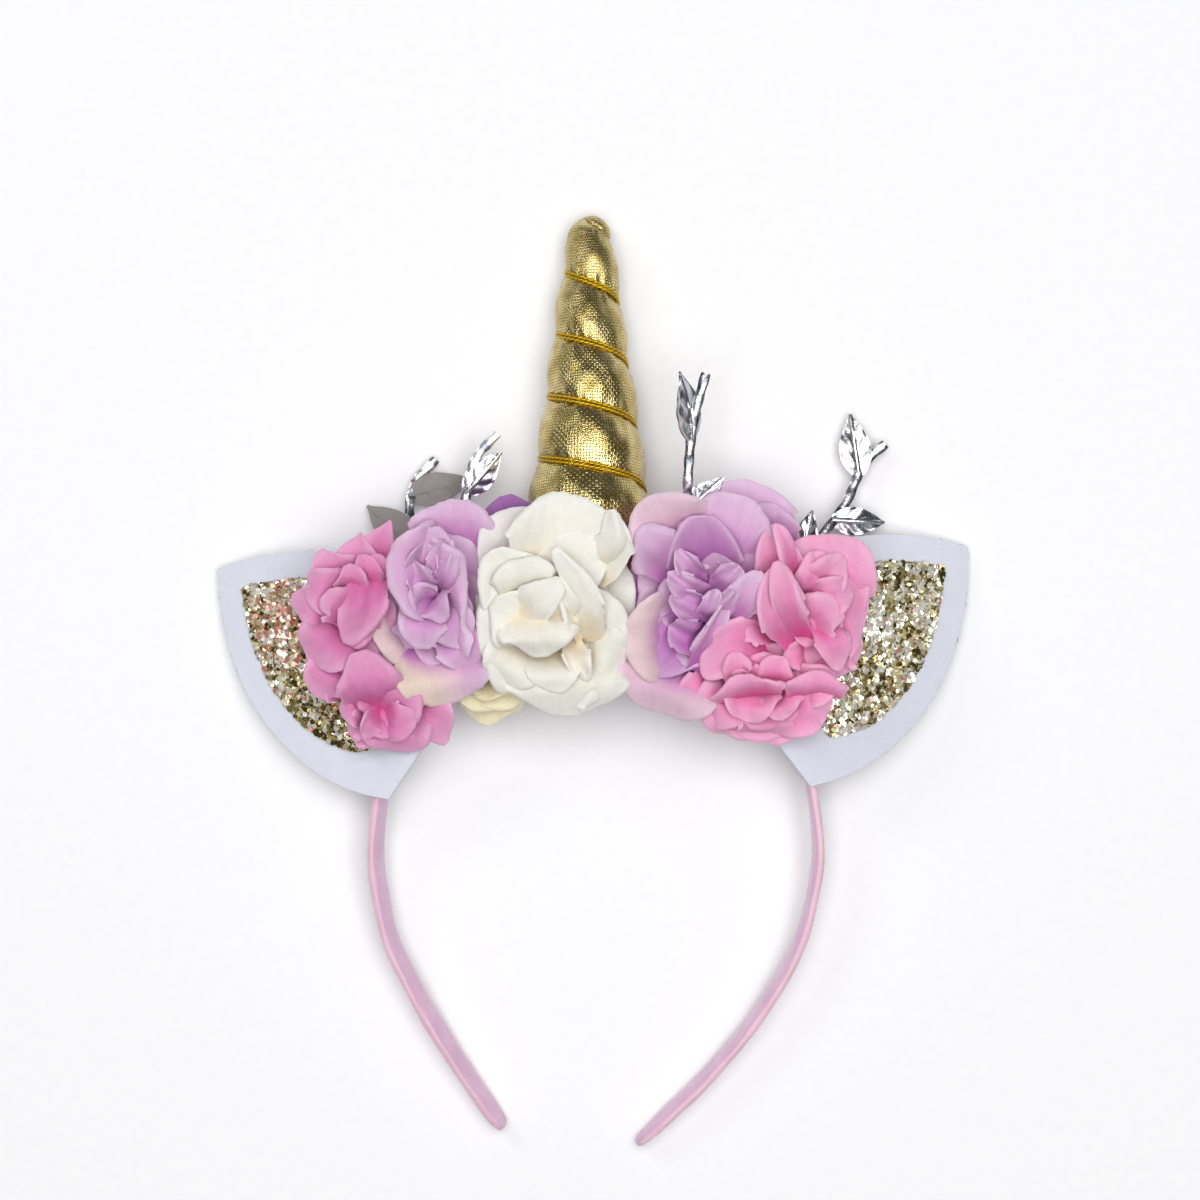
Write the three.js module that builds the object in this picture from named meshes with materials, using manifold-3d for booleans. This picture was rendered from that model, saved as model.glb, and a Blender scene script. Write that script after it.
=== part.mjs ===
// A unicorn horn headband, lying on its back on a flat surface: a satin-covered hoop that carries a stuffed
// gold horn, two felt ears with glitter panels, a row of cloth roses and blossoms, and silver leaf sprigs.
// Millimetres. The pieces are modelled in the hoop's own frame: +X to the wearer's left as seen from the
// front, +Y up as worn, +Z out of the front, with the centre of the hoop's oval at the origin.
// The last section lays the hoop down, so that +Z is up and the bottom centre of its box is the origin.

import * as THREE from "three";
import { ConvexGeometry } from "three/addons/geometries/ConvexGeometry.js";
import { mergeVertices } from "three/addons/utils/BufferGeometryUtils.js";
import Module from "manifold-3d";

const wasm = await Module();
wasm.setup();

// Driving dimensions

const GAP = 0.3; // clearance between pieces that touch
const MARGIN = 1.0; // length by which a cutting body runs past what it cuts
const SMALLEST_DETAIL = 0.03; // steps lower than this are taken out of cut pieces
const WELD = 1e-3; // points closer than this are one

const BAND = {
  outerWidth: 127.4, // widest, across the arms
  crownHeight: 77.8, // from the widest level up to the top of the crown
  leftDrop: 78.2, // from the widest level down to each tip
  rightDrop: 82.8,
  width: 8.4, // of the covered strip, front to back
  thickness: 2.6,
  tipTaper: 11, // length over which each end narrows
  tipShare: 0.3, // what is left of the section at the very end
  corner: 0.3, // share of the half section that the rounded corners take
  leftTurn: 19, // degrees that each arm's inner face turns to the front
  rightTurn: 8,
  steps: 40,
  searchSteps: 400, // finer steps, to find a place along the hoop
};

// How each arm curves in below its widest level: down as a share of its drop, out as a share of the half width.
const ARM_ROWS = {
  left: [
    { down: 0.14, out: 0.981 },
    { down: 0.31, out: 0.933 },
    { down: 0.47, out: 0.84 },
    { down: 0.64, out: 0.724 },
    { down: 0.8, out: 0.597 },
    { down: 1.0, out: 0.428 },
  ],
  right: [
    { down: 0.13, out: 0.977 },
    { down: 0.29, out: 0.923 },
    { down: 0.44, out: 0.825 },
    { down: 0.6, out: 0.686 },
    { down: 0.76, out: 0.508 },
    { down: 0.88, out: 0.35 },
    { down: 1.0, out: 0.182 },
  ],
};

const HORN = {
  x: -2,
  length: 104,
  baseRadius: 14.5,
  bulgeRadius: 17.6, // the widest, a little above the base
  bulgeAt: 19, // height of the widest level above the base
  tipRadius: 6.6, // just below the rounded tip
  pitch: 17.9, // of the wound groove
  grooveAt: 29.4, // height at which the groove crosses the front
  grooveDepth: 2.3,
  grooveSharpness: 1.5,
  tipWidth: 0.3, // least radius near the tip
  sides: 14,
  rowsPerTurn: 4,
};

const CORD = { diameter: 1.3, sides: 5, stepsPerTurn: 12, lift: 0.65, startAt: 8, endShort: 9 };

const EAR = {
  length: 75.7, // from the base to the tip, seen from the front
  felt: 2.4,
  lean: 19.5, // degrees that the ear leans back from the hoop's plane
  wrapWall: 1.4,
  wrapLength: 12, // of the felt lapped round the band
  wrapSteps: 4,
};

// The felt and its glitter panel: Bezier handles of one side, along and across as shares of the ear's length.
const EAR_OUTLINE = { root: 0, rootHalf: 0.322, h1: [0.315, 0.5], h2: [0.722, 0.389], tip: 1 };
const PANEL_OUTLINE = { root: 0.16, rootHalf: 0.222, h1: [0.315, 0.341], h2: [0.611, 0.315], tip: 0.88 };
const PANEL_THICKNESS = 0.8;

// anchor: degrees up the hoop's oval where the ear crosses the band. inset: how far its base reaches inside the
// hoop from there. slant: degrees of the ear's own axis above level.
const EAR_ROWS = [
  { name: "right", side: 1, anchor: 36, inset: 7.5, slant: 36.9, wrapAt: 22 },
  { name: "left", side: -1, anchor: 34, inset: 9, slant: 33.5, wrapAt: 20 },
];

// rimPower and rootWidth shape a petal's outline. swayWaves and swayStep place the wave of its rim.
const PETAL = { thickness: 1.0, rimPower: 2.2, rootWidth: 0.6, swayWaves: 1.3, swayStep: 2.1 };
const CALYX = { radius: 5.2, sides: 6, footRadius: 3.6, heartShare: 0.12, heartRise: 0.3 };

// Whorls of petals. Lengths are shares of the bloom's radius and angles are in degrees. open and curl are the
// petal's slope from the bloom's axis at its root and at its rim, point narrows the rim, and columns and
// rows are the facets across and along a petal.
const WHORLS = {
  rose: [
    {
      count: 5, columns: 3, rows: 3, span: 43, length: 0.97, root: 0.1, rise: 0.0,
      open: 58, curl: 108, point: 0.2, lap: 0.06, wave: 0.04,
    },
    {
      count: 4, columns: 2, rows: 2, span: 50, length: 0.78, root: 0.1, rise: 0.06,
      open: 30, curl: 92, point: 0.2, lap: 0.09, wave: 0.04,
    },
    {
      count: 3, columns: 2, rows: 2, span: 52, length: 0.62, root: 0.07, rise: 0.08,
      open: 4, curl: 48, point: 0.15, lap: 0.1, wave: 0.03,
    },
  ],
  blossom: [
    {
      count: 5, columns: 3, rows: 3, span: 40, length: 0.95, root: 0.1, rise: 0.0,
      open: 62, curl: 98, point: 0.3, lap: 0.07, wave: 0.06,
    },
    {
      count: 4, columns: 2, rows: 2, span: 44, length: 0.78, root: 0.1, rise: 0.1,
      open: 22, curl: 74, point: 0.25, lap: 0.12, wave: 0.05,
    },
  ],
  bud: [
    {
      count: 4, columns: 3, rows: 3, span: 46, length: 1.0, root: 0.1, rise: 0.0,
      open: 52, curl: 96, point: 0.25, lap: 0.08, wave: 0.05,
    },
    {
      count: 2, columns: 3, rows: 2, span: 62, length: 0.75, root: 0.08, rise: 0.1,
      open: 12, curl: 60, point: 0.2, lap: 0.12, wave: 0.03,
    },
  ],
};

// The hoop on which the places of the blooms and sprigs were measured. They move with the band's own size.
const MEASURED_ON = { outerWidth: 127.4, crownHeight: 77.8 };

// Blooms, front ones first: each is cut clear of those above it in the list. x, y and z are the bloom's centre,
// wide and tall squash it, yaw and pitch turn its face to the side and up, turn spins it about its own axis.
// stand: degrees up the oval where its foot stands on the band's front edge; without it the foot is straight
// behind, on an ear.
const BLOOMS = [
  {
    name: "rose_white", kind: "rose",
    x: -12.5, y: 70.5, z: 9.5, radius: 31.5, wide: 0.76, tall: 1.0,
    yaw: 0, pitch: -3, turn: 100, stand: 97,
  },
  {
    name: "blossom_pink_right_upper", kind: "blossom",
    x: 58.5, y: 68, z: 11.5, radius: 22, wide: 0.86, tall: 1.05,
    yaw: 14, pitch: 6, turn: 20,
  },
  {
    name: "blossom_pink_right_lower", kind: "blossom",
    x: 47.5, y: 47.5, z: 11, radius: 22, wide: 1.1, tall: 0.76,
    yaw: 4, pitch: -14, turn: 62,
  },
  {
    name: "rose_lilac_right", kind: "rose",
    x: 29.5, y: 68, z: 8.5, radius: 34, wide: 0.86, tall: 1.02,
    yaw: 3, pitch: 0, turn: 56, stand: 65,
  },
  {
    name: "rose_lilac_left", kind: "rose",
    x: -44.5, y: 69, z: 9.5, radius: 30.5, wide: 0.66, tall: 1.0,
    yaw: -10, pitch: 4, turn: 25,
  },
  {
    name: "blossom_pink_left_upper", kind: "blossom",
    x: -66, y: 67.5, z: 9, radius: 23, wide: 0.96, tall: 1.08,
    yaw: -34, pitch: 10, turn: 8,
  },
  {
    name: "blossom_pink_left_lower", kind: "blossom",
    x: -55.5, y: 47.5, z: 9.5, radius: 20, wide: 1.0, tall: 1.05,
    yaw: -18, pitch: -12, turn: 40,
  },
  {
    name: "blossom_cream", kind: "bud",
    x: -30, y: 55, z: 8, radius: 19, wide: 1.0, tall: 1.0,
    yaw: -8, pitch: -26, turn: 50, stand: 116,
  },
];

// Rear blooms stand on the band's outer face. at: degrees up the oval. lift and front: how far the bloom's
// centre is off that face and in front of the hoop's plane.
const REAR_BLOOMS = [
  {
    name: "bloom_purple_rear", kind: "bud",
    at: 108, lift: 17, front: 3, radius: 18, wide: 1.0, tall: 0.6,
    tip: -4, turn: 30,
  },
  {
    name: "bloom_lilac_rear", kind: "bud",
    at: 60, lift: 19, front: 3, radius: 25, wide: 1.0, tall: 0.5,
    tip: 4, turn: 75,
  },
];

const SPRIG = {
  stemWidth: 2.4,
  stemRows: 7,
  thickness: 0.9,
  leafLength: 14,
  leafWidth: 6.8,
  leafRows: 3,
  leafStart: 0.06, // share of the leaf's outline left out at its foot
  leafEnd: 0.97, // and the share at which it ends
  leafFullness: 0.8, // below 1 the leaf is widest nearer its foot
  leafBlunt: 0.25, // half width at both ends
  leafDroop: 0.12, // fall of the edges, a share of the half width
  leafArch: 0.06, // rise of the middle, a share of the length
  leafSeat: 0.3, // overlap of leaf and stem, a share of the stem's width
};

// Sprigs of silver leaves, each glued to the band's outer face. stand: degrees up the oval and distance in
// front of the hoop's plane. route: the stem's further points, x, y and either z or the height over the surface
// that the headband lies on. leaves: share along the stem, the side that the leaf leaves to, its angle from the
// stem, its roll about its own rib and its size.
const SPRIGS = [
  {
    name: "sprig_right_outer",
    stand: [52, -2.4],
    onFloor: true,
    route: [[58, 84, 13], [70, 98, 8], [76, 110, 5], [82, 115.5, 4.6]],
    leaves: [
      { at: 0.62, side: 1, angle: 52, roll: 12, size: 1.0 },
      { at: 0.84, side: -1, angle: 32, roll: -15, size: 1.15 },
      { at: 0.42, side: -1, angle: 30, roll: 10, size: 0.8 },
    ],
  },
  {
    name: "sprig_right_inner",
    stand: [67, 3],
    onFloor: false,
    route: [[25, 90, 5.2], [25.2, 107, 6], [26.6, 123, 7.5], [30, 136.5, 9]],
    leaves: [
      { at: 0.5, side: 1, angle: 50, roll: -25, size: 0.75 },
      { at: 0.72, side: -1, angle: 16, roll: 50, size: 1.25 },
    ],
  },
  {
    name: "sprig_left_inner",
    stand: [121, -2],
    onFloor: false,
    route: [[-37, 84, -4.5], [-37, 100, -6], [-34, 112, -7], [-28, 119, -7.5]],
    leaves: [
      { at: 0.66, side: 1, angle: 32, roll: 10, size: 1.0 },
      { at: 0.5, side: 1, angle: 74, roll: 20, size: 0.85 },
    ],
  },
  {
    name: "sprig_left_outer",
    stand: [128, -2.5],
    onFloor: true,
    route: [[-48, 80, 13.2], [-53, 93, 7.6], [-52, 104, 3.6], [-46, 111, 2.4]],
    leaves: [
      { at: 0.62, side: -1, angle: 22, roll: -12, size: 1.1 },
      { at: 0.75, side: 1, angle: 40, roll: 14, size: 0.9 },
    ],
  },
];

const COLOURS = {
  satin: { color: 0xd9a9c9, roughness: 0.35, metalness: 0 },
  gold: { color: 0xb89a45, roughness: 0.35, metalness: 0.9 },
  cord: { color: 0xe0b81c, roughness: 0.4, metalness: 0.5 },
  felt: { color: 0xe3e5ee, roughness: 0.95, metalness: 0 },
  glitter: { color: 0xc9b878, roughness: 0.3, metalness: 0.9 },
  silver: { color: 0xc8cad2, roughness: 0.25, metalness: 0.95 },
  white: { color: 0xf2ece2, roughness: 0.8, metalness: 0 },
  lilac: { color: 0xcf9fd2, roughness: 0.8, metalness: 0 },
  purple: { color: 0x9a5aa6, roughness: 0.8, metalness: 0 },
  pink: { color: 0xea8fc0, roughness: 0.8, metalness: 0 },
  cream: { color: 0xf0e4b8, roughness: 0.8, metalness: 0 },
};

const radians = THREE.MathUtils.degToRad;
const vec = (x, y, z = 0) => new THREE.Vector3(x, y, z);

// Solids and geometries

function signedVolume(points, faces) {
  const cross = vec(0, 0);
  return faces.reduce(
    (sum, [a, b, c]) => sum + points[a].dot(cross.crossVectors(points[b], points[c])) / 6,
    0,
  );
}

// A closed mesh from points and triangles, turned so that its faces point out. Triangles without area are
// left out.
function closedGeometry(points, faces) {
  const outward = signedVolume(points, faces) < 0 ? faces.map(([a, b, c]) => [a, c, b]) : faces;
  const raw = new THREE.BufferGeometry().setFromPoints(points).setIndex(outward.flat());
  const merged = mergeVertices(raw, WELD);
  const index = [];
  for (let i = 0; i < merged.index.count; i += 3) {
    const [a, b, c] = [0, 1, 2].map((k) => merged.index.getX(i + k));
    if (a !== b && b !== c && a !== c) index.push(a, b, c);
  }
  return merged.setIndex(index);
}

function toSolid(geometry) {
  const bare = new THREE.BufferGeometry().setAttribute("position", geometry.getAttribute("position"));
  if (geometry.index) bare.setIndex(geometry.index);
  const merged = mergeVertices(bare, WELD);
  return new wasm.Manifold(
    new wasm.Mesh({
      numProp: 3,
      vertProperties: new Float32Array(merged.attributes.position.array),
      triVerts: new Uint32Array(merged.index.array),
    }),
  );
}

function toGeometry(solid) {
  const mesh = solid.getMesh();
  const geometry = new THREE.BufferGeometry();
  const position = new Float32Array(mesh.numVert * 3);
  for (let i = 0; i < mesh.numVert; i++) {
    position.set(mesh.vertProperties.subarray(i * mesh.numProp, i * mesh.numProp + 3), i * 3);
  }
  geometry.setAttribute("position", new THREE.BufferAttribute(position, 3));
  geometry.setIndex(new THREE.BufferAttribute(mesh.triVerts, 1));
  geometry.computeVertexNormals();
  return geometry;
}

// The convex room that a solid takes up.
function roomOf(solid) {
  const corners = toGeometry(solid).getAttribute("position");
  const points = [];
  for (let i = 0; i < corners.count; i++) points.push(vec(0, 0).fromBufferAttribute(corners, i));
  return toSolid(new ConvexGeometry(points));
}

// Cuts leave crumbs and slivers: the piece is the largest body, with steps under the smallest detail taken out.
function largestBody(solid) {
  const largest = solid.decompose().reduce((best, body) => (body.volume() > best.volume() ? body : best));
  return largest.simplify(SMALLEST_DETAIL);
}

// A sheet of cloth as a closed solid: a grid of points, thickened to both sides along its normals.
function sheetGeometry(pointAt, across, along, thickness) {
  const grid = [];
  for (let j = 0; j <= along; j++) {
    for (let i = 0; i <= across; i++) grid.push(pointAt((2 * i) / across - 1, j / along));
  }
  const at = (i, j) => j * (across + 1) + i;
  const clampAcross = (i) => Math.min(across, Math.max(0, i));
  const clampAlong = (j) => Math.min(along, Math.max(0, j));
  const points = [];
  const offset = (i, j) => {
    const u = grid[at(clampAcross(i + 1), j)].clone().sub(grid[at(clampAcross(i - 1), j)]);
    const v = grid[at(i, clampAlong(j + 1))].clone().sub(grid[at(i, clampAlong(j - 1))]);
    return u.cross(v).normalize().multiplyScalar(thickness / 2);
  };
  for (const way of [1, -1]) {
    for (let j = 0; j <= along; j++) {
      for (let i = 0; i <= across; i++) points.push(grid[at(i, j)].clone().addScaledVector(offset(i, j), way));
    }
  }
  const layer = grid.length;
  const faces = [];
  for (let j = 0; j < along; j++) {
    for (let i = 0; i < across; i++) {
      const [a, b, c, d] = [at(i, j), at(i + 1, j), at(i + 1, j + 1), at(i, j + 1)];
      faces.push([a, b, c], [a, c, d], [a + layer, c + layer, b + layer], [a + layer, d + layer, c + layer]);
    }
  }
  const wall = (a, b) => faces.push([a, a + layer, b], [b, a + layer, b + layer]);
  for (let i = 0; i < across; i++) {
    wall(at(i, 0), at(i + 1, 0));
    wall(at(i + 1, along), at(i, along));
  }
  for (let j = 0; j < along; j++) {
    wall(at(0, j + 1), at(0, j));
    wall(at(across, j), at(across, j + 1));
  }
  return closedGeometry(points, faces);
}

// Rings of points joined into a closed skin, with a flat cap at each end.
function loftGeometry(rings) {
  const sides = rings[0].length;
  const points = rings.flat();
  const faces = [];
  for (let r = 0; r + 1 < rings.length; r++) {
    for (let k = 0; k < sides; k++) {
      const [a, b] = [r * sides + k, r * sides + ((k + 1) % sides)];
      faces.push([a, b, a + sides], [b, b + sides, a + sides]);
    }
  }
  const last = (rings.length - 1) * sides;
  for (let k = 1; k + 1 < sides; k++) {
    faces.push([0, k + 1, k], [last, last + k, last + k + 1]);
  }
  return closedGeometry(points, faces);
}

// The hoop

const halfWidth = (BAND.outerWidth - BAND.thickness) / 2;
const crownRise = BAND.crownHeight - BAND.thickness / 2;
const frontFace = BAND.width / 2;

// Middle of the band's thickness on the oval of the crown, degrees up from the wearer's left side.
function ovalPoint(degrees) {
  return vec(halfWidth * Math.cos(radians(degrees)), crownRise * Math.sin(radians(degrees)));
}

function ovalNormal(degrees) {
  return vec(Math.cos(radians(degrees)) / halfWidth, Math.sin(radians(degrees)) / crownRise).normalize();
}

function ovalTangent(degrees) {
  const n = ovalNormal(degrees);
  return vec(-n.y, n.x);
}

// A place in the tables of blooms and sprigs, moved with the size of the band.
function onHoop(x, y, z = 0) {
  const across = BAND.outerWidth / MEASURED_ON.outerWidth;
  const up = BAND.crownHeight / MEASURED_ON.crownHeight;
  return vec(x * across, y * up, z);
}

function bandCurve() {
  const arm = (rows, side, drop) => rows.map((row) => vec(side * row.out * halfWidth, -row.down * drop));
  const crown = [];
  for (let degrees = 180; degrees >= 0; degrees -= 15) crown.push(ovalPoint(degrees));
  return new THREE.CatmullRomCurve3([
    ...arm(ARM_ROWS.left, -1, BAND.leftDrop).reverse(),
    ...crown,
    ...arm(ARM_ROWS.right, 1, BAND.rightDrop),
  ]);
}

const hoop = bandCurve();
const hoopLength = hoop.getLength();

// Rounded-oblong section of the band at a share of the hoop's length, grown on every side by a clearance.
function bandRing(share, grow) {
  const centre = hoop.getPointAt(share);
  const along = hoop.getTangentAt(share);
  const out = vec(-along.y, along.x);
  const toTip = Math.min(share, 1 - share) * hoopLength;
  const inset = Math.max(0, 1 - toTip / BAND.tipTaper);
  const size = BAND.tipShare + (1 - BAND.tipShare) * Math.sqrt(1 - inset * inset);
  const arm = share < 0.5 ? BAND.leftTurn : BAND.rightTurn;
  const turn = radians(arm) * THREE.MathUtils.smoothstep(Math.abs(share - 0.5), 0.12, 0.28);
  const deep = out.clone().multiplyScalar(Math.sin(turn)).add(vec(0, 0, Math.cos(turn)));
  const thick = out.clone().multiplyScalar(Math.cos(turn)).sub(vec(0, 0, Math.sin(turn)));
  const w = (BAND.width / 2) * size + grow;
  const t = (BAND.thickness / 2) * size + grow;
  const c = BAND.corner * 2 * t;
  const upper = [[w, t - c], [w - c, t], [c - w, t], [-w, t - c]];
  const corners = [...upper, ...upper.map(([d, o]) => [-d, -o])];
  return corners.map(([d, o]) => centre.clone().addScaledVector(deep, d).addScaledVector(thick, o));
}

function sweptBand(from, to, grow, steps) {
  const rings = [];
  for (let i = 0; i <= steps; i++) rings.push(bandRing(from + ((to - from) * i) / steps, grow));
  return toSolid(loftGeometry(rings));
}

// Share of the hoop's length at which the band is level with a point on the oval.
function shareAt(degrees) {
  const goal = ovalPoint(degrees);
  let best = 0;
  for (let i = 0; i <= BAND.searchSteps; i++) {
    const share = i / BAND.searchSteps;
    if (hoop.getPointAt(share).distanceTo(goal) < hoop.getPointAt(best).distanceTo(goal)) best = share;
  }
  return best;
}

// The surface under the headband

// It touches the back edges of the band near its tips and the back of the horn, which leans to lie along it.
const hornFoot = vec(HORN.x, BAND.crownHeight + GAP, 0);
const hornTaper = Math.atan2(
  HORN.bulgeRadius - HORN.tipRadius,
  HORN.length - HORN.tipRadius - HORN.bulgeAt,
);
const bandCorners = [];
for (let i = 0; i <= BAND.steps; i++) bandCorners.push(...bandRing(i / BAND.steps, 0));

// Lowest point of the horn's widest level, in the hoop's frame, when the horn leans back.
function hornHeel(lean) {
  const radius = HORN.bulgeRadius * Math.cos(Math.PI / HORN.sides);
  return hornFoot
    .clone()
    .add(vec(0, HORN.bulgeAt * Math.cos(lean), -HORN.bulgeAt * Math.sin(lean)))
    .add(vec(0, -radius * Math.sin(lean), -radius * Math.cos(lean)));
}

function floorSlope(heel) {
  return Math.min(...bandCorners.map((corner) => Math.atan2(corner.z - heel.z, heel.y - corner.y)));
}

const LEAN_ROUNDS = 12;
let hornLean = hornTaper;
for (let round = 0; round < LEAN_ROUNDS; round++) hornLean = hornTaper + floorSlope(hornHeel(hornLean));
const heel = hornHeel(hornLean);
const floorTilt = floorSlope(heel);

// Height of that surface, in the hoop's frame, under a point of the hoop's plane.
function floorAt(y) {
  return heel.z + (heel.y - y) * Math.tan(floorTilt);
}

// The horn and its cord

function hornRadius(height) {
  if (height <= HORN.bulgeAt) {
    const low = Math.max(0, height) / HORN.bulgeAt;
    return THREE.MathUtils.lerp(HORN.baseRadius, HORN.bulgeRadius, Math.sin((low * Math.PI) / 2));
  }
  const domeFrom = HORN.length - HORN.tipRadius;
  if (height >= domeFrom) {
    const up = Math.min(1, (height - domeFrom) / HORN.tipRadius);
    return HORN.tipRadius * Math.sqrt(1 - up * up);
  }
  return HORN.bulgeRadius - (height - HORN.bulgeAt) * Math.tan(hornTaper);
}

// A point of the horn's surface at an angle round its axis, 0 to the front, on a row of the wound grid.
function hornPoint(angle, turns, grow) {
  const height = Math.min(HORN.length, HORN.grooveAt + (turns - angle / (2 * Math.PI)) * HORN.pitch);
  const nearest = Math.abs(turns - Math.round(turns)) * 2;
  const groove = HORN.grooveDepth * (1 - nearest) ** HORN.grooveSharpness;
  const radius = height < HORN.length ? Math.max(HORN.tipWidth, hornRadius(height) - groove) + grow : 0;
  return vec(radius * Math.sin(angle), height, radius * Math.cos(angle));
}

// The rows of the grid follow the groove, so one row ends where another begins. A flat side faces the back.
function hornGeometry(grow) {
  const rows = HORN.rowsPerTurn;
  const first = -Math.ceil(HORN.grooveAt / HORN.pitch + 1) * rows;
  const last = Math.ceil((HORN.length - HORN.grooveAt) / HORN.pitch + 1) * rows;
  const points = [];
  const faces = [];
  const at = (row, side) => (row - first) * (HORN.sides + 1) + side;
  for (let row = first; row <= last; row++) {
    for (let side = 0; side <= HORN.sides; side++) {
      points.push(hornPoint(((2 * side + 1) / HORN.sides - 1) * Math.PI, row / rows, grow));
    }
  }
  for (let row = first; row < last; row++) {
    for (let side = 0; side < HORN.sides; side++) {
      const [a, b, c, d] = [at(row, side), at(row, side + 1), at(row + 1, side + 1), at(row + 1, side)];
      faces.push([a, b, c], [a, c, d]);
    }
  }
  const bottom = points.push(vec(0, hornPoint(0, first / rows, 0).y)) - 1;
  for (let side = 0; side < HORN.sides; side++) faces.push([bottom, at(first, side + 1), at(first, side)]);
  for (let row = first; row < first + rows; row++) {
    faces.push([bottom, at(row + 1, HORN.sides), at(row, HORN.sides)]);
  }
  return closedGeometry(points, faces);
}

const hornPlace = new THREE.Matrix4()
  .makeTranslation(hornFoot.x, hornFoot.y, hornFoot.z)
  .multiply(new THREE.Matrix4().makeRotationX(-hornLean))
  .multiply(new THREE.Matrix4().makeTranslation(0, frontFace * Math.tan(hornLean), 0));

function hornSolid(grow) {
  const reach = HORN.length + HORN.pitch * 3;
  const below = new THREE.BoxGeometry(reach, reach, reach).translate(0, -reach / 2, 0);
  const cut = toSolid(hornGeometry(grow)).subtract(toSolid(below));
  return toSolid(toGeometry(cut).applyMatrix4(hornPlace));
}

class GrooveCurve extends THREE.Curve {
  getPoint(share, target = vec(0, 0)) {
    const height = THREE.MathUtils.lerp(CORD.startAt, HORN.length - CORD.endShort, share);
    const turns = (HORN.grooveAt - height) / HORN.pitch;
    const angle = turns * 2 * Math.PI;
    const radius = hornRadius(height) - HORN.grooveDepth + CORD.lift + CORD.diameter / 2;
    return target.set(radius * Math.sin(angle), height, radius * Math.cos(angle));
  }
}

function polygonShape(radius, sides) {
  const shape = new THREE.Shape();
  for (let k = 0; k < sides; k++) {
    const angle = (k / sides) * 2 * Math.PI;
    shape[k ? "lineTo" : "moveTo"](radius * Math.cos(angle), radius * Math.sin(angle));
  }
  return shape;
}

function cordGeometry() {
  const turns = (HORN.length - CORD.endShort - CORD.startAt) / HORN.pitch;
  return new THREE.ExtrudeGeometry(polygonShape(CORD.diameter / 2, CORD.sides), {
    steps: Math.round(turns * CORD.stepsPerTurn),
    extrudePath: new GrooveCurve(),
    bevelEnabled: false,
  }).applyMatrix4(hornPlace);
}

// The ears

function leafShape(outline, grow) {
  const long = EAR.length;
  const half = outline.rootHalf * long + grow;
  const [root, tip] = [outline.root * long - grow, outline.tip * long + grow];
  const [h1, h2] = [outline.h1, outline.h2].map(([up, out]) => [up * long, out * long + grow]);
  const shape = new THREE.Shape();
  shape.moveTo(-half, root);
  shape.lineTo(half, root);
  shape.bezierCurveTo(h1[1], h1[0], h2[1], h2[0], 0, tip);
  shape.bezierCurveTo(-h2[1], h2[0], -h1[1], h1[0], -half, root);
  return shape;
}

// Takes the ear's own plane, tip along +Y, to its place: across the band, leaning back about the band's
// tangent.
function earPlace(row) {
  const degrees = row.side > 0 ? row.anchor : 180 - row.anchor;
  const anchor = ovalPoint(degrees);
  const out = ovalNormal(degrees);
  const spin = radians(row.side > 0 ? row.slant - 90 : 90 - row.slant);
  const lean = radians(EAR.lean);
  const frame = new THREE.Matrix4().makeBasis(vec(out.y, -out.x), out, vec(0, 0, 1));
  const stretch = new THREE.Matrix4().makeScale(1, 1 / Math.cos(lean), 1);
  return new THREE.Matrix4()
    .makeTranslation(anchor.x, anchor.y, frontFace + GAP)
    .multiply(frame)
    .multiply(new THREE.Matrix4().makeRotationX(-lean))
    .multiply(stretch)
    .multiply(frame.clone().invert())
    .multiply(new THREE.Matrix4().makeRotationZ(spin))
    .multiply(new THREE.Matrix4().makeTranslation(0, -row.inset, 0));
}

function earPanel(row, outline, from, thickness, grow) {
  const flat = new THREE.ExtrudeGeometry(leafShape(outline, grow), {
    depth: thickness + 2 * grow,
    bevelEnabled: false,
    curveSegments: 10,
  });
  return toSolid(flat.translate(0, 0, from - grow).applyMatrix4(earPlace(row)));
}

// Felt lapped round the band at the ear's lower corner: a sleeve on the band's own section.
function earWrap(row) {
  const middle = shareAt(row.side > 0 ? row.wrapAt : 180 - row.wrapAt);
  const half = EAR.wrapLength / 2 / hoopLength;
  const outer = sweptBand(middle - half, middle + half, GAP + EAR.wrapWall, EAR.wrapSteps);
  const past = MARGIN / hoopLength;
  return outer.subtract(sweptBand(middle - half - past, middle + half + past, GAP, EAR.wrapSteps));
}

// The blooms

// A point of one petal in the bloom's own frame: across from -1 to 1, up from root to rim, +Z the bloom's face.
function petalPoint(bloom, whorl, petal, across, up) {
  const size = bloom.radius;
  const reach = up * (1 - whorl.point * Math.abs(across) ** PETAL.rimPower);
  const open = radians(whorl.open);
  const bend = radians(whorl.curl) - open;
  const slope = open + bend * reach;
  const arc = (whorl.length * size) / bend;
  const lapped = whorl.lap * size * across * up;
  const phase = Math.PI * across * PETAL.swayWaves + petal * PETAL.swayStep;
  const sway = whorl.wave * size * up * up * Math.sin(phase);
  const radius = whorl.root * size + arc * (Math.cos(open) - Math.cos(slope)) - lapped * Math.cos(slope);
  const height = whorl.rise * size + arc * (Math.sin(slope) - Math.sin(open)) + lapped * Math.sin(slope) + sway;
  const step = (2 * Math.PI) / whorl.count;
  const shift = WHORLS[bloom.kind].indexOf(whorl) * 0.5;
  const width = radians(whorl.span) * THREE.MathUtils.lerp(PETAL.rootWidth, 1, up);
  const angle = radians(bloom.turn) + (petal + shift) * step + across * width;
  return vec(radius * Math.cos(angle), radius * Math.sin(angle), height);
}

function ringPoints(radius, height) {
  const points = [];
  for (let k = 0; k < CALYX.sides; k++) {
    const angle = (k / CALYX.sides) * 2 * Math.PI;
    points.push(vec(radius * Math.cos(angle), radius * Math.sin(angle), height));
  }
  return points;
}

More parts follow.
